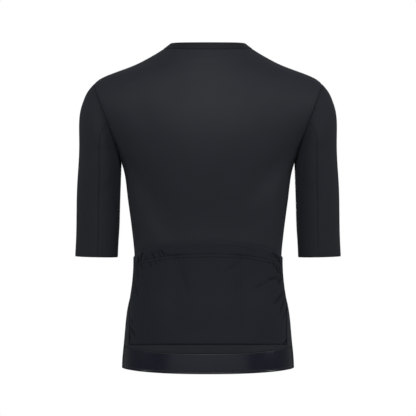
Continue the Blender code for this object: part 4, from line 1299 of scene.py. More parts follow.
def pocket_levels():
    """Levels from the foot up to the stitching, at 1, and on to the top, at 2."""
    drop = POCKET_STITCH.side - POCKET_FOOT.side
    rise = POCKET_TOP.side - POCKET_STITCH.side
    below = with_edges(drop, POCKET_ROWS, both=False)[:-1] / drop
    above = 2 - with_edges(rise, CHANNEL_ROWS, both=False)[::-1] / rise
    return np.concatenate([1 - (1 - below) ** POCKET_ROW_CROWDING, above])


def pocket_row(level):
    """One row of the panel: its angles, its heights, and each point's distance from its seam."""
    low, high = (POCKET_FOOT, POCKET_STITCH) if level < 1 else (POCKET_STITCH, POCKET_TOP)
    share = level if level < 1 else level - 1
    side, middle = (between(a, b, share) for a, b in zip(low, high))
    seam = float(angle_at_y(SEAM_Y(side), side))
    row = BodyRow(side, seam, seam, middle - side, 0.0)
    dense, run = arc(seam, math.pi - seam, lambda a: row_height(row, a, POCKET_LINE_POWER))
    at = gathered_columns(run[-1])
    angle = np.interp(at, run, dense)
    return angle, row_height(row, angle, POCKET_LINE_POWER), np.minimum(at, run[-1] - at)


def pocket_grid():
    levels = pocket_levels()
    angles, heights, to_seam = np.array([pocket_row(level) for level in levels]).transpose(1, 0, 2)
    points, outs = on_body(angles, heights)
    level = levels[:, None] * np.ones_like(to_seam)
    creases, hollow = pocket_creases(points)
    creases = creases * smoothstep(0.0, CREASE_SIDE, to_seam)
    lift = np.maximum(pocket_lift(points, to_seam, level) - creases, POCKET_LEAST_GAP)
    up = run_up(points)
    drop = up[np.argmin(np.abs(levels - 1))] - up
    # Painted shade at the channel's gathered ends and along the side seams, on top of the creases'.
    ends = bump(level - 1, END_SHADE_LEVELS) * (1 - smoothstep(0.0, END_SHADE_WIDTH, to_seam))
    hollow = hollow + SIDE_SHADE * bump(to_seam, SIDE_SHADE_WIDTH) + END_SHADE * ends
    points = points + (lift + POCKET_CLOTH)[..., None] * outs
    return Pocket(points, outs, drop, np.clip(hollow, 0.0, 1.0), np.minimum(to_seam, up))


pocket = pocket_grid()
kept = {"from_stitching": pocket.drop, "hollow": pocket.hollow, "rim": pocket.edge}
panel = pulled_in(pocket.points)
pocket_piece = shell("pocket_cloth", panel, pocket.outs, POCKET_CLOTH, POCKET_KNIT, **kept)

# %% [markdown]
# ## Stitches
#
# A row of stitches is one short thread repeated along a line. An Array modifier could bend it
# along a curve, but Geometry Nodes also turn each thread to the cloth: the line becomes a curve,
# the curve is cut at the stitch length, and a small bead of thread is set on each point, along
# the line and facing away from the cloth. The line's points keep the cloth's outward direction
# as an attribute.


# %% Grow something along lines
def group_tree(name, sizes):
    """An empty Geometry Nodes tree with named number inputs and a material input."""
    nodes = bpy.data.node_groups.new(name, "GeometryNodeTree")
    nodes.interface.new_socket("Geometry", in_out="INPUT", socket_type="NodeSocketGeometry")
    for size in sizes:
        nodes.interface.new_socket(size, in_out="INPUT", socket_type="NodeSocketFloat")
    nodes.interface.new_socket("Finish", in_out="INPUT", socket_type="NodeSocketMaterial")
    nodes.interface.new_socket("Geometry", in_out="OUTPUT", socket_type="NodeSocketGeometry")
    tree = Tree(nodes)
    entry = nodes.nodes.new("NodeGroupInput")
    return tree, {socket.name: Wire(tree, socket) for socket in entry.outputs if socket.name}


def close_tree(tree, geometry, finish):
    """End a tree in real, smooth, finished mesh."""
    real = tree.add("GeometryNodeRealizeInstances", None, {0: geometry})
    smooth = tree.add("GeometryNodeSetShadeSmooth", None, {0: real})
    done = tree.add("GeometryNodeSetMaterial", None, {"Geometry": smooth, "Material": finish})
    leave = tree.nodes.nodes.new("NodeGroupOutput")
    tree.put(leave.inputs[0], done)
    return tree.nodes


def line_mesh(name, lines):
    """A mesh of open lines whose points keep the outward direction."""
    points, edges, outs = [], [], []
    for line, out in lines:
        first = len(points)
        points.extend(np.asarray(line).tolist())
        outs.extend(np.asarray(out).tolist())
        edges.extend((i, i + 1) for i in range(first, len(points) - 1))
    mesh = bpy.data.meshes.new(name)
    mesh.from_pydata(points, edges, [])
    attribute = mesh.attributes.new("out", "FLOAT_VECTOR", "POINT")
    attribute.data.foreach_set("vector", np.array(outs).ravel())
    return mesh


def grow(name, lines, nodes, finish, **sizes):
    """A piece grown along lines by a Geometry Nodes tree, as a plain mesh."""
    carrier = in_scene(name + "_lines", line_mesh(name + "_lines", lines))
    grown = carrier.modifiers.new("grown", "NODES")
    grown.node_group = nodes
    for socket in nodes.interface.items_tree:
        given = {**sizes, "Finish": finish}
        if socket.in_out == "INPUT" and socket.name in given:
            grown[socket.identifier] = given[socket.name]
    bpy.context.view_layer.update()
    graph = bpy.context.evaluated_depsgraph_get()
    mesh = bpy.data.meshes.new_from_object(carrier.evaluated_get(graph), depsgraph=graph)
    mesh.name = name
    bpy.data.objects.remove(carrier)
    if not mesh.materials:
        mesh.materials.append(finish)
    print(name, "faces", len(mesh.polygons))
    return in_scene(name, mesh)


print("node groups before the first row", len(bpy.data.node_groups))

# %% [markdown]
# Two nodes turn a bead: the first sets its height out of the cloth, and the second turns it about
# that direction until its length lies along the line. One function makes them for stitches, bar
# tacks and the turns of the zip, which differ only in their sizes and in what is along.


# %% Rows of beads
THREAD_BEAD = {"Segments": 6, "Rings": 4}


def vector_kept(tree, name):
    settings = {"data_type": "FLOAT_VECTOR"}
    return tree.add("GeometryNodeInputNamedAttribute", settings, {"Name": name})


def spaced_curve(tree, lines, spacing):
    """The lines as a curve with points this far apart."""
    curve = tree.add("GeometryNodeMeshToCurve", None, {"Mesh": lines})
    spaced = {"Curve": curve, "Length": spacing}
    return tree.add("GeometryNodeResampleCurve", {"mode": "LENGTH"}, spaced)


def beads(tree, given, points, along, rounds):
    """A bead on each point, its length along one direction and its height out of the cloth."""
    out = {"Vector": vector_kept(tree, "out")}
    facing = tree.add("FunctionNodeAlignRotationToVector", {"axis": "Z"}, out)
    settings = {"axis": "X", "pivot_axis": "Z"}
    turned = {"Rotation": facing, "Vector": along}
    turned = tree.add("FunctionNodeAlignRotationToVector", settings, turned)
    bead = tree.add("GeometryNodeMeshUVSphere", None, {**rounds, "Radius": 0.5})
    size = {"X": given["Length"], "Y": given["Width"], "Z": given["Height"]}
    size = tree.add("ShaderNodeCombineXYZ", None, size)
    row = {"Points": points, "Instance": bead, "Rotation": turned, "Scale": size}
    return close_tree(tree, tree.add("GeometryNodeInstanceOnPoints", None, row), given["Finish"])


def stitch_nodes():
    tree, given = group_tree("sewn_row", ("Pitch", "Length", "Width", "Height"))
    curve = spaced_curve(tree, given["Geometry"], given["Pitch"])
    return beads(tree, given, curve, tree.add("GeometryNodeInputTangent"), THREAD_BEAD)


SEWN_ROW = stitch_nodes()
print("nodes of a sewn row", len(SEWN_ROW.nodes))

# %% [markdown]
# Each line of stitches is found on the finished cloth. A line that follows an edge is taken from
# the grid at a distance from that edge. Any other line is drawn roughly and then dropped onto
# the nearest point of the cloth.


# %% Lines on the cloth
def across_columns(grid, normals, run, distance, lift=0.0, part=slice(None)):
    """The line through a grid's columns where run, which rises along each, is at a distance."""
    columns = range(grid.shape[1])[part]
    line = np.array([at_run(distance, run[:, k], grid[:, k]) for k in columns])
    outs = unit(np.array([at_run(distance, run[:, k], normals[:, k]) for k in columns]))
    return line + lift * outs, outs


def inset(name, edge, distance, lift=0.0, part=slice(None)):
    """The line on a piece of cloth at a distance from one edge of its grid."""
    grid, normals = CLOTHS[name]
    if edge in ("start", "end"):
        grid, normals = grid.transpose(1, 0, 2), normals.transpose(1, 0, 2)
    if edge in ("end", "high"):
        grid, normals = grid[::-1], normals[::-1]
    return across_columns(grid, normals, run_up(grid), distance, lift, part)


def dropped(name, line, lift=0.0):
    """A line moved to the nearest points of a piece's outer face."""
    outer, normals = CLOTHS[name]
    rows, columns = outer.shape[:2]
    faces = grid_faces(rows, columns)[: (rows - 1) * (columns - 1)]
    tree = BVHTree.FromPolygons(outer.reshape(-1, 3).tolist(), faces.tolist())
    spots = [tree.find_nearest(Vector(point)) for point in line]
    corners = normals.reshape(-1, 3)[faces[[face for _, _, face, _ in spots]]]
    outs = unit(corners.mean(axis=1))
    return np.array([spot for spot, _, _, _ in spots]) + lift * outs, outs


pocket_foot = inset("pocket_cloth", "low", 0.0)[0]
print("the pocket panel's foot is", round(run_along(pocket_foot)[-1], 3), "m long")

# %% [markdown]
# The elastic channel is sewn with two needles 6.4 mm apart. Two lines divide the pockets. Bar
# tacks, dense blocks of thread, hold the ends of the dividers at the channel. Thread pulled tight
# lies partly in the cloth, so its lift off the face is small, or less than nothing.

# %% Sew the pockets
THREAD_SIZES = {"Pitch": 0.0026, "Length": 0.0021, "Width": 0.00042, "Height": 0.00034}
STITCH_LIFT = 0.00005
DIVIDER_LIFTS = (-0.00006, -0.0001)
DIVIDER_Z, DIVIDER_POINTS = (-0.572, -0.4095), 90
FOOT_INSET = 0.0022
FOOT_LIFT = 0.0001
TACK_SIZES = {"Pitch": 0.00045, "Length": 0.00042, "Width": 0.0022, "Height": 0.0009}
TACK_FOOT, TACK_HEIGHT, TACK_POINTS = -0.4060, 0.0048, 8
TACK_Z = (TACK_FOOT, TACK_FOOT + TACK_HEIGHT)
TACK_LIFT = 0.0002


def up_the_panel(x, ends, count, lift):
    """A line up the pocket panel between two heights, at one x."""
    z = np.linspace(*ends, count)
    return dropped("pocket_cloth", body_point(angle_at(np.full_like(z, x), z), z), lift)


from_top = [grid[::-1] for grid in (*CLOTHS["pocket_cloth"], pocket.drop)]
channel = [across_columns(*from_top, row, STITCH_LIFT) for row in CHANNEL_STITCHES]
dividers = [
    up_the_panel(x, DIVIDER_Z, DIVIDER_POINTS, lift) for x, lift in zip(POCKET_DIVIDERS, DIVIDER_LIFTS)
]
foot = [inset("pocket_cloth", "low", FOOT_INSET, FOOT_LIFT)]
tacks = [up_the_panel(x, TACK_Z, TACK_POINTS, TACK_LIFT) for x in POCKET_DIVIDERS]
channel_piece = grow("stitches_pocket_channel", channel, SEWN_ROW, THREAD, **THREAD_SIZES)
divider_piece = grow("stitches_pocket_dividers", dividers, SEWN_ROW, THREAD, **THREAD_SIZES)
foot_piece = grow("stitches_pocket_foot", foot, SEWN_ROW, THREAD, **THREAD_SIZES)
tack_piece = grow("bar_tacks", tacks, SEWN_ROW, THREAD, **TACK_SIZES)

# %% [markdown]
# ## Seams
#
# The seams that hold the pieces together are flat: the cloth's two edges meet and a row of
# thread runs beside them. The sleeve seam also has a welt, a narrow folded ridge beside it, made
# as a flattened tube along the seam. A sweep of one ring along the line gives it, with its flat
# side kept to the cloth by the outward direction.


# %% Welt nodes
WELT_SPACING = 0.002


def welt_nodes():
    tree, given = group_tree("welt", ("Width", "Height"))
    curve = spaced_curve(tree, given["Geometry"], WELT_SPACING)
    free = {"Curve": curve, "Normal": vector_kept(tree, "out")}
    curve = tree.add("GeometryNodeSetCurveNormal", {"mode": "FREE"}, free)
    ring = tree.add("GeometryNodeCurvePrimitiveCircle", None, {"Resolution": 10, "Radius": 0.5})
    size = {"X": given["Height"], "Y": given["Width"], "Z": 1.0}
    size = tree.add("ShaderNodeCombineXYZ", None, size)
    ring = tree.add("GeometryNodeTransform", None, {"Geometry": ring, "Scale": size})
    sweep = {"Curve": curve, "Profile Curve": ring, "Fill Caps": True}
    return close_tree(tree, tree.add("GeometryNodeCurveToMesh", None, sweep), given["Finish"])


WELT = welt_nodes()
print("nodes of a welt", len(WELT.nodes))

# %% [markdown]
# A row of the table names a piece of cloth, the edge that the thread follows, how far in it runs,
# and which part of the edge is sewn. low and high are the first and last rows of a piece's grid,
# and start and end are its first and last columns.

# %% Sew the seams
SEAM_THREAD = {"Pitch": 0.0024, "Length": 0.0020, "Width": 0.00038, "Height": 0.00030}
WELT_SIZES = {"Width": 0.0026, "Height": 0.0008}
BELOW_ARMHOLE = slice(4, LOWER_ROWS)
SLEEVE_SHOWN = slice(SMOOTH_ROWS + 4, None)
WELT_SHOWN = slice(3, -SMOOTH_ROWS - 2)
Sewn = namedtuple("Sewn", "cloth edge inset part", defaults=(slice(None),))
SEAM_ROWS = []
for side in SIDES:
    SEAM_ROWS.append(Sewn("sleeve_cloth_" + side, "low", 0.0018))
    SEAM_ROWS.append(Sewn("sleeve_cloth_" + side, "start", 0.0016, SLEEVE_SHOWN))
    SEAM_ROWS.append(Sewn("front_cloth_" + side, "start", 0.0018, BELOW_ARMHOLE))
SEAM_ROWS.append(Sewn("back_cloth", "start", 0.0018, BELOW_ARMHOLE))
SEAM_ROWS.append(Sewn("back_cloth", "end", 0.0018, BELOW_ARMHOLE))
for name in ("back_cloth", "front_cloth_left", "front_cloth_right"):
    SEAM_ROWS.append(Sewn(name, "high", 0.0016))
    SEAM_ROWS.append(Sewn(name, "low", 0.0018))
SEAM_ROWS.append(Sewn("collar_cloth", "low", 0.0050))
WELT_ROWS = [Sewn("sleeve_cloth_" + side, "end", 0.0017, WELT_SHOWN) for side in SIDES]
CUFF_ROWS = [Sewn("sleeve_cloth_" + side, "high", 0.0022) for side in SIDES]
HEM_SEWN = [Sewn("hem_band_cloth", "low", HEM_GROOVE_UP), Sewn("hem_band_cloth", "high", 0.0018)]


def lines_of(rows, lift):
    return [inset(row.cloth, row.edge, row.inset, lift, row.part) for row in rows]


def sewn_piece(name, rows):
    return grow(name, lines_of(rows, STITCH_LIFT), SEWN_ROW, THREAD, **SEAM_THREAD)


seam_piece = sewn_piece("stitches_seams", SEAM_ROWS)
welt_lines = lines_of(WELT_ROWS, 0.0)
welt_piece = grow("sleeve_seam_welts", welt_lines, WELT, SLEEVE_KNIT, **WELT_SIZES)
cuff_piece = sewn_piece("stitches_cuffs", CUFF_ROWS)
hem_thread = sewn_piece("stitches_hem", HEM_SEWN)

# %% [markdown]
# Inside, each seam leaves an allowance, the two edges trimmed together and bound. It is the same
# flattened tube as the welt, wider and laid on the lining along the seam.

# %% Seam allowances
ALLOWANCE = {"Width": 0.0060, "Height": 0.0009}
LINING_GAP = 0.0002
UP_TO_ARMHOLE = slice(0, LOWER_ROWS + 2)
bound = [("back_cloth", edge) for edge in ("high", "low")]
bound += [("back_cloth", edge, UP_TO_ARMHOLE) for edge in ("start", "end")]
for side in SIDES:
    bound += [("front_cloth_" + side, edge) for edge in ("high", "low")]
    bound += [("sleeve_cloth_" + side, edge) for edge in ("low", "start")]
BOUND_ROWS = [Sewn(name, edge, 0.0, *part) for name, edge, *part in bound]
allowances = lines_of(BOUND_ROWS, -CLOTH - LINING_GAP)
allowance_piece = grow("seam_allowances", allowances, WELT, BODY_KNIT, **ALLOWANCE)

# %% [markdown]
# ## The zip
#
# A coil zip is two nylon coils sewn to tapes. Closed, their turns lock into each other, so from
# outside it is a row of small bars that reach in by turns from left and right. A real coil could
# be swept along a spiral, at many times the faces. Here each bar is a bead on a point of the
# centre line, pushed to its own side, over a plain core that shows in the gaps.

# %% Tapes
CHAIN_HALF_WIDTH = 0.0025
CHAIN_PROUD = 0.0004
TAPE_FRONT = 0.0018
TAPE_THICKNESS = 0.0006
TAPE_EDGE = 0.0006
TAPE_WIDTH = 0.0125
TAPE_SPREAD = 0.0022
ZIP_END_GAP = 0.0030
SLIDER_Z = -0.0437
TAPES_PART = (SLIDER_Z - 0.002, SLIDER_Z + 0.004)
TAPE_ROWS, TAPE_COLUMNS = 150, 8


def on_front(x, z, depth):
    """Points of the front at a distance from the centre and a depth in from the cloth's face."""
    x, z = np.broadcast_arrays(np.asarray(x, float), np.asarray(z, float))
    angle = angle_at(x, z, front=True)
    normal = body_normal(angle, z)
    return body_point(angle, z) - depth * normal, normal


def tape_grid(side):
    heights = with_edges(COLLAR_TOP.front - HEM.front - 2 * ZIP_END_GAP, TAPE_ROWS)
    heights = heights + HEM.front + ZIP_END_GAP
    inner = TAPE_EDGE + TAPE_SPREAD * smoothstep(*TAPES_PART, heights)
    width = TAPE_EDGE + TAPE_WIDTH - inner
    shares = with_edges(TAPE_WIDTH, TAPE_COLUMNS) / TAPE_WIDTH
    x = side * (inner[:, None] + width[:, None] * shares)
    return on_front(x, heights[:, None], TAPE_FRONT)


tape_pieces = []
for side, sign in zip(SIDES, (1, -1)):
    tape_pieces.append(shell("zip_tape_cloth_" + side, *tape_grid(sign), TAPE_THICKNESS, ZIP_TAPE))

# %% [markdown]
# Across the line is the cross product of along and out. A bar's number, divided by two, leaves
# nothing or one over, and that says to which side it is pushed. The direction along the curve is
# stored before the curve becomes points, because points have none.


# %% Coil
TEETH = {"Pitch": 0.00130, "Reach": 0.00105, "Length": 0.0029, "Width": 0.00085, "Height": 0.0015}
TOOTH_BEAD = {"Segments": 8, "Rings": 5}
TEETH_DEPTH = 0.0004
CORE_DEPTH = 0.0006
CORE_THICKNESS = 0.0008
CORE_ROWS, CORE_COLUMNS = 150, 3
CHAIN_TOP = SLIDER_Z + 0.0005
CHAIN_POINTS = 400


def coil_nodes():
    tree, given = group_tree("zip_coil", ("Pitch", "Reach", "Length", "Width", "Height"))
    curve = spaced_curve(tree, given["Geometry"], given["Pitch"] * 0.5)
    keep = {"Geometry": curve, "Name": "along", "Value": tree.add("GeometryNodeInputTangent")}
    curve = tree.add("GeometryNodeStoreNamedAttribute", {"data_type": "FLOAT_VECTOR"}, keep)
    points = tree.add("GeometryNodeCurveToPoints", {"mode": "EVALUATED"}, {"Curve": curve})
    cross = {0: vector_kept(tree, "along"), 1: vector_kept(tree, "out")}
    across = tree.add("ShaderNodeVectorMath", {"operation": "CROSS_PRODUCT"}, cross)
    side = 1.0 - tree.add("GeometryNodeInputIndex").math("MODULO", 2.0) * 2.0
    push = {0: across, "Scale": side * given["Reach"]}
    push = tree.add("ShaderNodeVectorMath", {"operation": "SCALE"}, push)
    points = tree.add("GeometryNodeSetPosition", None, {"Geometry": points, "Offset": push})
    return beads(tree, given, points, across, TOOTH_BEAD)


chain_z = np.linspace(HEM.front + ZIP_END_GAP, CHAIN_TOP, CHAIN_POINTS)
centre_line = on_front(0.0, chain_z, TEETH_DEPTH)
teeth = grow("zip_teeth", [centre_line], coil_nodes(), COIL, **TEETH)
core_z = with_edges(chain_z[-1] - chain_z[0], CORE_ROWS) + chain_z[0]
core_x = with_edges(2 * CHAIN_HALF_WIDTH, CORE_COLUMNS) - CHAIN_HALF_WIDTH
core = on_front(core_x, core_z[:, None], CORE_DEPTH)
core_piece = shell("zip_coil_core", *core, CORE_THICKNESS, COIL)

# %% [markdown]
# ## Slider and pull tab
#
# The slider is two plates joined by a post, with a bail that the pull tab hangs from. Plates and
# tab are outlines given a thickness, with a Bevel modifier to round their edges, because die-cast
# parts have no sharp ones. They are drawn flat and then set on the front by the slider's frame.

# %% Sizes of the slider and the tab
SLIDER_LENGTH = 0.0084
SLIDER_WIDTH = 0.0074
SLIDER_PLATE = 0.0009
SLIDER_LIFT = 0.0008
TAPE_BACK = TAPE_FRONT + TAPE_THICKNESS
POST_WIDTH = 0.0022
POST_LENGTH = 0.0020
BAIL_WIDTH = 0.0016
BAIL_LENGTH = 0.0060
BAIL_HEIGHT = 0.0028
BAIL_BAR = 0.0009
TAB_LENGTH = 0.0240
TAB_WIDTH = 0.0058
TAB_PLATE = 0.0009
TAB_WINDOW_WIDTH = 0.0026
TAB_WINDOW_LENGTH = 0.0058
TAB_BAR = 0.0011
TAB_TIP_GAP = 0.0010
EDGE_ROUND = 0.00018
PLATE_ROUND, BAR_ROUND = 0.3, 0.4
SHARP_METAL = math.radians(35)
BEVELLED = math.radians(50)
print("slider", SLIDER_LENGTH, "tab", TAB_LENGTH)

# %% [markdown]
# A plate's outline runs round in x and z. Its walls, its two faces and its opening are listed so
# that every face points outwards, with no normals to mend afterwards.


# %% Plates of metal
def rounded_box(width, length, radius, steps=6):
    outline = []
    for quarter, (side, end) in enumerate(((1, 1), (-1, 1), (-1, -1), (1, -1))):
        for step in range(steps + 1):
            turn = math.pi / 2 * (quarter + step / steps)
            x = side * (width / 2 - radius) + radius * math.cos(turn)
            outline.append((x, end * (length / 2 - radius) + radius * math.sin(turn)))
    return outline


def raised(outline, by):
    return [(x, z + by) for x, z in outline]


def plate_mesh(parts):
    """One mesh of closed plates. Each part is an outline in x and z, an opening or None with as
    many points, and the two depths along Y that it lies between."""
    points, faces = [], []
    for outline, opening, low, high in parts:
        count = len(outline)
        loops = [outline] + ([opening] if opening else [])
        first = len(points)
        for loop in loops:
            for depth in (low, high):
                points.extend((x, depth, z) for x, z in loop)
        for i in range(count):
            j = (i + 1) % count
            faces.append((first + i, first + count + i, first + count + j, first + j))
            if opening:
                hole = first + 2 * count
                faces.append((hole + j, hole + count + j, hole + count + i, hole + i))
                faces.append((first + i, first + j, hole + j, hole + i))
                front = first + count
                faces.append((front + j, front + i, hole + count + i, hole + count + j))
        if not opening:
            faces.append(tuple(first + i for i in range(count)))
            faces.append(tuple(first + count + i for i in range(count))[::-1])
    return points, faces


def metal_piece(name, parts, place):
    points, faces = plate_mesh(parts)
    mesh = bpy.data.meshes.new(name)
    mesh.from_pydata([tuple(place @ Vector(point)) for point in points], [], faces)
    mesh.materials.append(METAL)
    mesh.shade_smooth()
    mesh.set_sharp_from_angle(angle=SHARP_METAL)
    piece = in_scene(name, mesh)
    bevel = piece.modifiers.new("soft_edges", "BEVEL")
    bevel.width = EDGE_ROUND
    bevel.segments = 2
    bevel.limit_method = "ANGLE"
    bevel.angle_limit = BEVELLED
    print(name, "faces", len(faces))
    return piece


# %% [markdown]
# The slider's frame has its height along the zip and its depth out of the cloth. Seen from the
# side, the bail is a low arch over the tab's bar: two legs and a bridge. The post holds the two
# plates apart at the top, where the tapes part.


# %% Slider
def slider_frame():
    """X to the wearer's right, Y out of the cloth, Z up along the zip."""
    low, high = body_point(-math.pi / 2, np.array([SLIDER_Z - 0.004, SLIDER_Z + 0.004]))
    up = Vector(high - low).normalized()
    side = Vector((-1, 0, 0))
    made = Matrix((side, up.cross(side), up)).transposed().to_4x4()
    made.translation = Vector(body_point(-math.pi / 2, SLIDER_Z))
    return made


place = slider_frame()
top = SLIDER_LIFT + SLIDER_PLATE
back_face = -TAPE_BACK - 2 * SEAM_GAP
plate = rounded_box(SLIDER_WIDTH, SLIDER_LENGTH, SLIDER_WIDTH * PLATE_ROUND)
post_middle = (SLIDER_LENGTH - POST_LENGTH) / 2 - SEAM_GAP
post = raised(rounded_box(POST_WIDTH, POST_LENGTH, POST_LENGTH * BAR_ROUND), post_middle)
leg = rounded_box(BAIL_WIDTH, BAIL_BAR, BAIL_BAR * PLATE_ROUND)
leg_reach = (BAIL_LENGTH - BAIL_BAR) / 2
bridge = rounded_box(BAIL_WIDTH, BAIL_LENGTH, BAIL_BAR * BAR_ROUND)
slider_parts = [
    (plate, None, SLIDER_LIFT, top),
    (plate, None, back_face - SLIDER_PLATE, back_face),
    (post, None, back_face - SLIDER_PLATE / 2, SLIDER_LIFT + SLIDER_PLATE / 2),
    (raised(leg, -leg_reach), None, top - SLIDER_PLATE / 2, top + BAIL_HEIGHT),
    (raised(leg, leg_reach), None, top - SLIDER_PLATE / 2, top + BAIL_HEIGHT),
    (bridge, None, top + BAIL_HEIGHT - BAIL_BAR, top + BAIL_HEIGHT),
]
slider_piece = metal_piece("slider_metal", slider_parts, place)

# %% [markdown]
# The tab hangs from the bail by the bar above its window, and its tip lies just off the chain.
# The turn that lays it there is found by trying: the tip's height is moved until the tab's length
# fits between the hinge and the front.

# %% Pull tab
SHOULDER_SHARE = 0.86
TIP_POINTS = 24
TRIES = 20
hinge = place @ Vector((0, top + (BAIL_HEIGHT - BAIL_BAR) / 2, 0))


def tab_turn():
    """The turn about X that lays the tab along the front, its tip just off the chain."""
    reach = TAB_LENGTH - TAB_BAR / 2
    z = hinge.z
    for _ in range(TRIES):
        stand = CHAIN_PROUD + TAB_TIP_GAP + TAB_PLATE / 2
        tip = Vector(body_point(-math.pi / 2, z) + stand * body_normal(-math.pi / 2, z))
        z -= reach - (tip - hinge).length
    down = (tip - hinge).normalized()
    return math.atan2(down.y, -down.z)


def tab_outline(half_width, low, high, count=48):
    """A closed outline: square-shouldered at the top, round at the tip, count points in all."""
    shoulder = half_width * SHOULDER_SHARE
    turn = np.linspace(0, math.pi, TIP_POINTS)
    x, z = -half_width * np.cos(turn), low + half_width - half_width * np.sin(turn)
    tip = list(zip(x, z))
    path = np.array([(shoulder, high), (-shoulder, high), *tip, (shoulder, high)])
    run = run_along(path)
    return at_run(np.linspace(0, run[-1], count, endpoint=False), run, path).tolist()


tab = tab_outline(TAB_WIDTH / 2, TAB_BAR / 2 - TAB_LENGTH, TAB_BAR / 2)
window_low = -TAB_BAR / 2 - TAB_WINDOW_LENGTH
window = tab_outline(TAB_WINDOW_WIDTH / 2, window_low, -TAB_BAR / 2)
tab_place = Matrix.Translation(hinge) @ Matrix.Rotation(tab_turn(), 4, "X")
tab_parts = [(tab, window, -TAB_PLATE / 2, TAB_PLATE / 2)]
tab_piece = metal_piece("pull_tab_metal", tab_parts, tab_place)

# %% [markdown]
# ## What each piece stands for
#
# Every piece rides on a body of the model, and most stand for the plain node under them, which
# is hidden. Each row also names one of the model's finishes.

# %% Ride and replace
Part = namedtuple("Part", "piece slot node body", defaults=(None, "garment"))
front_left, front_right = front_pieces
sleeve_left, sleeve_right = sleeve_pieces
tape_left, tape_right = tape_pieces
PARTS = [
    Part(back_piece, "body_knit", "back_panel"),
    Part(front_left, "body_knit", "front_panel_left"),
    Part(front_right, "body_knit", "front_panel_right"),
    Part(sleeve_left, "sleeve_knit", "sleeve_left"),
    Part(sleeve_right, "sleeve_knit", "sleeve_right"),
    Part(collar_piece, "collar_knit", "collar"),
    Part(hem_piece, "hem_elastic", "hem_band"),
    Part(pocket_piece, "pocket_knit", "pocket_panel"),
    Part(tape_left, "zip_tape", "zip_tape_left"),
    Part(tape_right, "zip_tape", "zip_tape_right"),
    Part(channel_piece, "pocket_knit"),
    Part(divider_piece, "pocket_knit"),
    Part(foot_piece, "pocket_knit"),
    Part(tack_piece, "pocket_knit"),
    Part(seam_piece, "body_knit"),
    Part(hem_thread, "body_knit"),
    Part(allowance_piece, "body_knit"),
    Part(welt_piece, "sleeve_knit"),
    Part(cuff_piece, "sleeve_knit"),
    Part(teeth, "zip_coil", "zip_chain"),
    Part(core_piece, "zip_coil"),
    Part(slider_piece, "zip_metal", "zip_slider"),
    Part(tab_piece, "zip_metal", "zip_pull_tab", "pull_tab"),
]
for part in PARTS:
    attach(part.piece, part.body)
    if part.node:
        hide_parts(part.node)
print("pieces", len(PARTS))

# %% [markdown]
# A sheet's flat size is the cloth as it was cut, before it was sewn and stretched over the form.
# The Cut record below has room for it, and for an area where the cut is no rectangle, but no
# sheet is listed with it here.

Cut = namedtuple("Cut", "piece flat held rests_on area", defaults=(None,))

# %% [markdown]
# ## Floor, light and camera
#
# The garment hangs over a plain pale floor, well below the hem, so the floor throws little light
# back on it. Its tone varies a little, so that it isn't a flat colour.

# %% Floor
FLOOR_Z = -1.45
FLOOR_HALF = 2.4
FLOOR_PATCH_SCALE, FLOOR_PATCH_TONE, FLOOR_TONE = 3.0, 0.06, 0.74
floor_finish = Finish("pale_floor", Roughness=0.8)
floor_patches = floor_finish.noise(floor_finish.place(), FLOOR_PATCH_SCALE)
floor_tone = floor_patches * FLOOR_PATCH_TONE + FLOOR_TONE
floor_finish.feed("Base Color", floor_finish.mix(floor_tone, BLACK, (1, 1, 1, 1)))
floor_mesh = bpy.data.meshes.new("floor")
corners = [(x * FLOOR_HALF, y * FLOOR_HALF, FLOOR_Z) for x, y in ((-1, -1), (1, -1), (1, 1), (-1, 1))]
floor_mesh.from_pydata(corners, [], [(0, 1, 2, 3)])
floor_mesh.materials.append(floor_finish.material)
in_scene("floor", floor_mesh)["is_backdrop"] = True
print("floor at", FLOOR_Z)

# %% [markdown]
# Black cloth shows its form by gloss alone, so the lights are large and soft. A big box hangs
# high on the camera's side of the garment. A wide dim panel behind the camera is there for the
# satin hem band to mirror. A box on each side lights the flanks, and a small one in front keeps
# the zip from going black in other views.

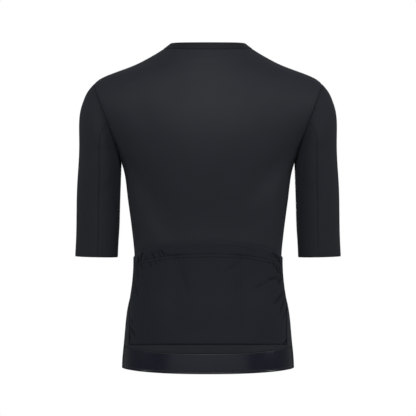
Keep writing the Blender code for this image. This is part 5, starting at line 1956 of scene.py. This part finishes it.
# %% Lights
SoftBox = namedtuple("SoftBox", "name place aim_z width height power")
SOFT_BOXES = [
    SoftBox("box_behind", (0.03, 2.2, 1.40), -0.20, 1.7, 1.1, 57.0),
    SoftBox("panel_behind", (0.0, 3.3, -0.30), -0.30, 3.7, 1.4, 4.6),
    SoftBox("box_left", (2.3, 1.05, 0.90), -0.30, 0.8, 1.2, 14.2),
    SoftBox("box_right", (-2.3, 1.05, 0.90), -0.30, 0.8, 1.2, 23.5),
    SoftBox("box_front", (0.0, -2.0, -0.07), -0.35, 0.38, 0.34, 17.0),
]
for box in SOFT_BOXES:
    light = bpy.data.lights.new(box.name, "AREA")
    light.shape = "RECTANGLE"
    light.size, light.size_y = box.width, box.height
    light.energy = box.power
    lamp = in_scene(box.name, light)
    lamp.location = box.place
    toward = Vector((0, 0, box.aim_z)) - Vector(box.place)
    lamp.rotation_euler = toward.to_track_quat("-Z", "Y").to_euler()
    lamp.visible_camera = False
print("soft boxes", len(SOFT_BOXES))

# %% [markdown]
# The room is a plain world: white where the camera sees it, and dim where it lights the cloth. It
# is dimmer still at its far end, towards -Y, so that cloth that turns away falls into the dark.

# %% The room
ROOM_LEVEL = 0.17
DARK_END = {"From Min": 0.70, "From Max": 0.95, "To Min": 1.0, "To Max": 0.2}
world = bpy.data.worlds.new("studio")
bpy.context.scene.world = world
world.use_nodes = True
room = Tree(world.node_tree)
seen = room.add("ShaderNodeLightPath", out=0)
direction = room.add("ShaderNodeTexCoord", out=0)
away = room.add("ShaderNodeSeparateXYZ", None, {0: direction}, out=1) * -1.0
level = {"Value": away, **DARK_END}
level = room.add("ShaderNodeMapRange", {"interpolation_type": "SMOOTHSTEP"}, level) * ROOM_LEVEL
sky = world.node_tree.nodes["Background"]
room.put(sky.inputs["Strength"], seen * (1.0 - level) + level)
room.put(sky.inputs["Color"], (1, 1, 1, 1))
bpy.context.scene.view_settings.view_transform = "Standard"
print("room", ROOM_LEVEL)

# %% [markdown]
# A long lens from 3 m keeps the garment's sides straight. Its focal length follows from how wide
# a stretch of the garment the view takes in at that distance.

# %% Camera
SENSOR = 36.0
DISTANCE = 3.0
VIEW_WIDTH = 0.8112
VIEW_MIDDLE_Z = -0.312
eye = bpy.data.cameras.new("camera")
eye.sensor_width = SENSOR
eye.lens = SENSOR * DISTANCE / VIEW_WIDTH
camera = in_scene("camera", eye)
camera.location = (0.0, DISTANCE, VIEW_MIDDLE_Z)
camera.rotation_euler = (math.pi / 2, 0, math.pi)
bpy.context.scene.camera = camera
print("lens", round(eye.lens, 1))

# %% [markdown]
# ## Sizes
#
# The dressed garment has to stay the size of the model, so both boxes are printed, and given side
# by side at the end.

# %% Sizes, and the end
dressed_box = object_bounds()
print("dressed box", dressed_box)


def plain(box):
    return [[float(value) for value in corner] for corner in box]


repr([plain(cad_box), plain(dressed_box)])
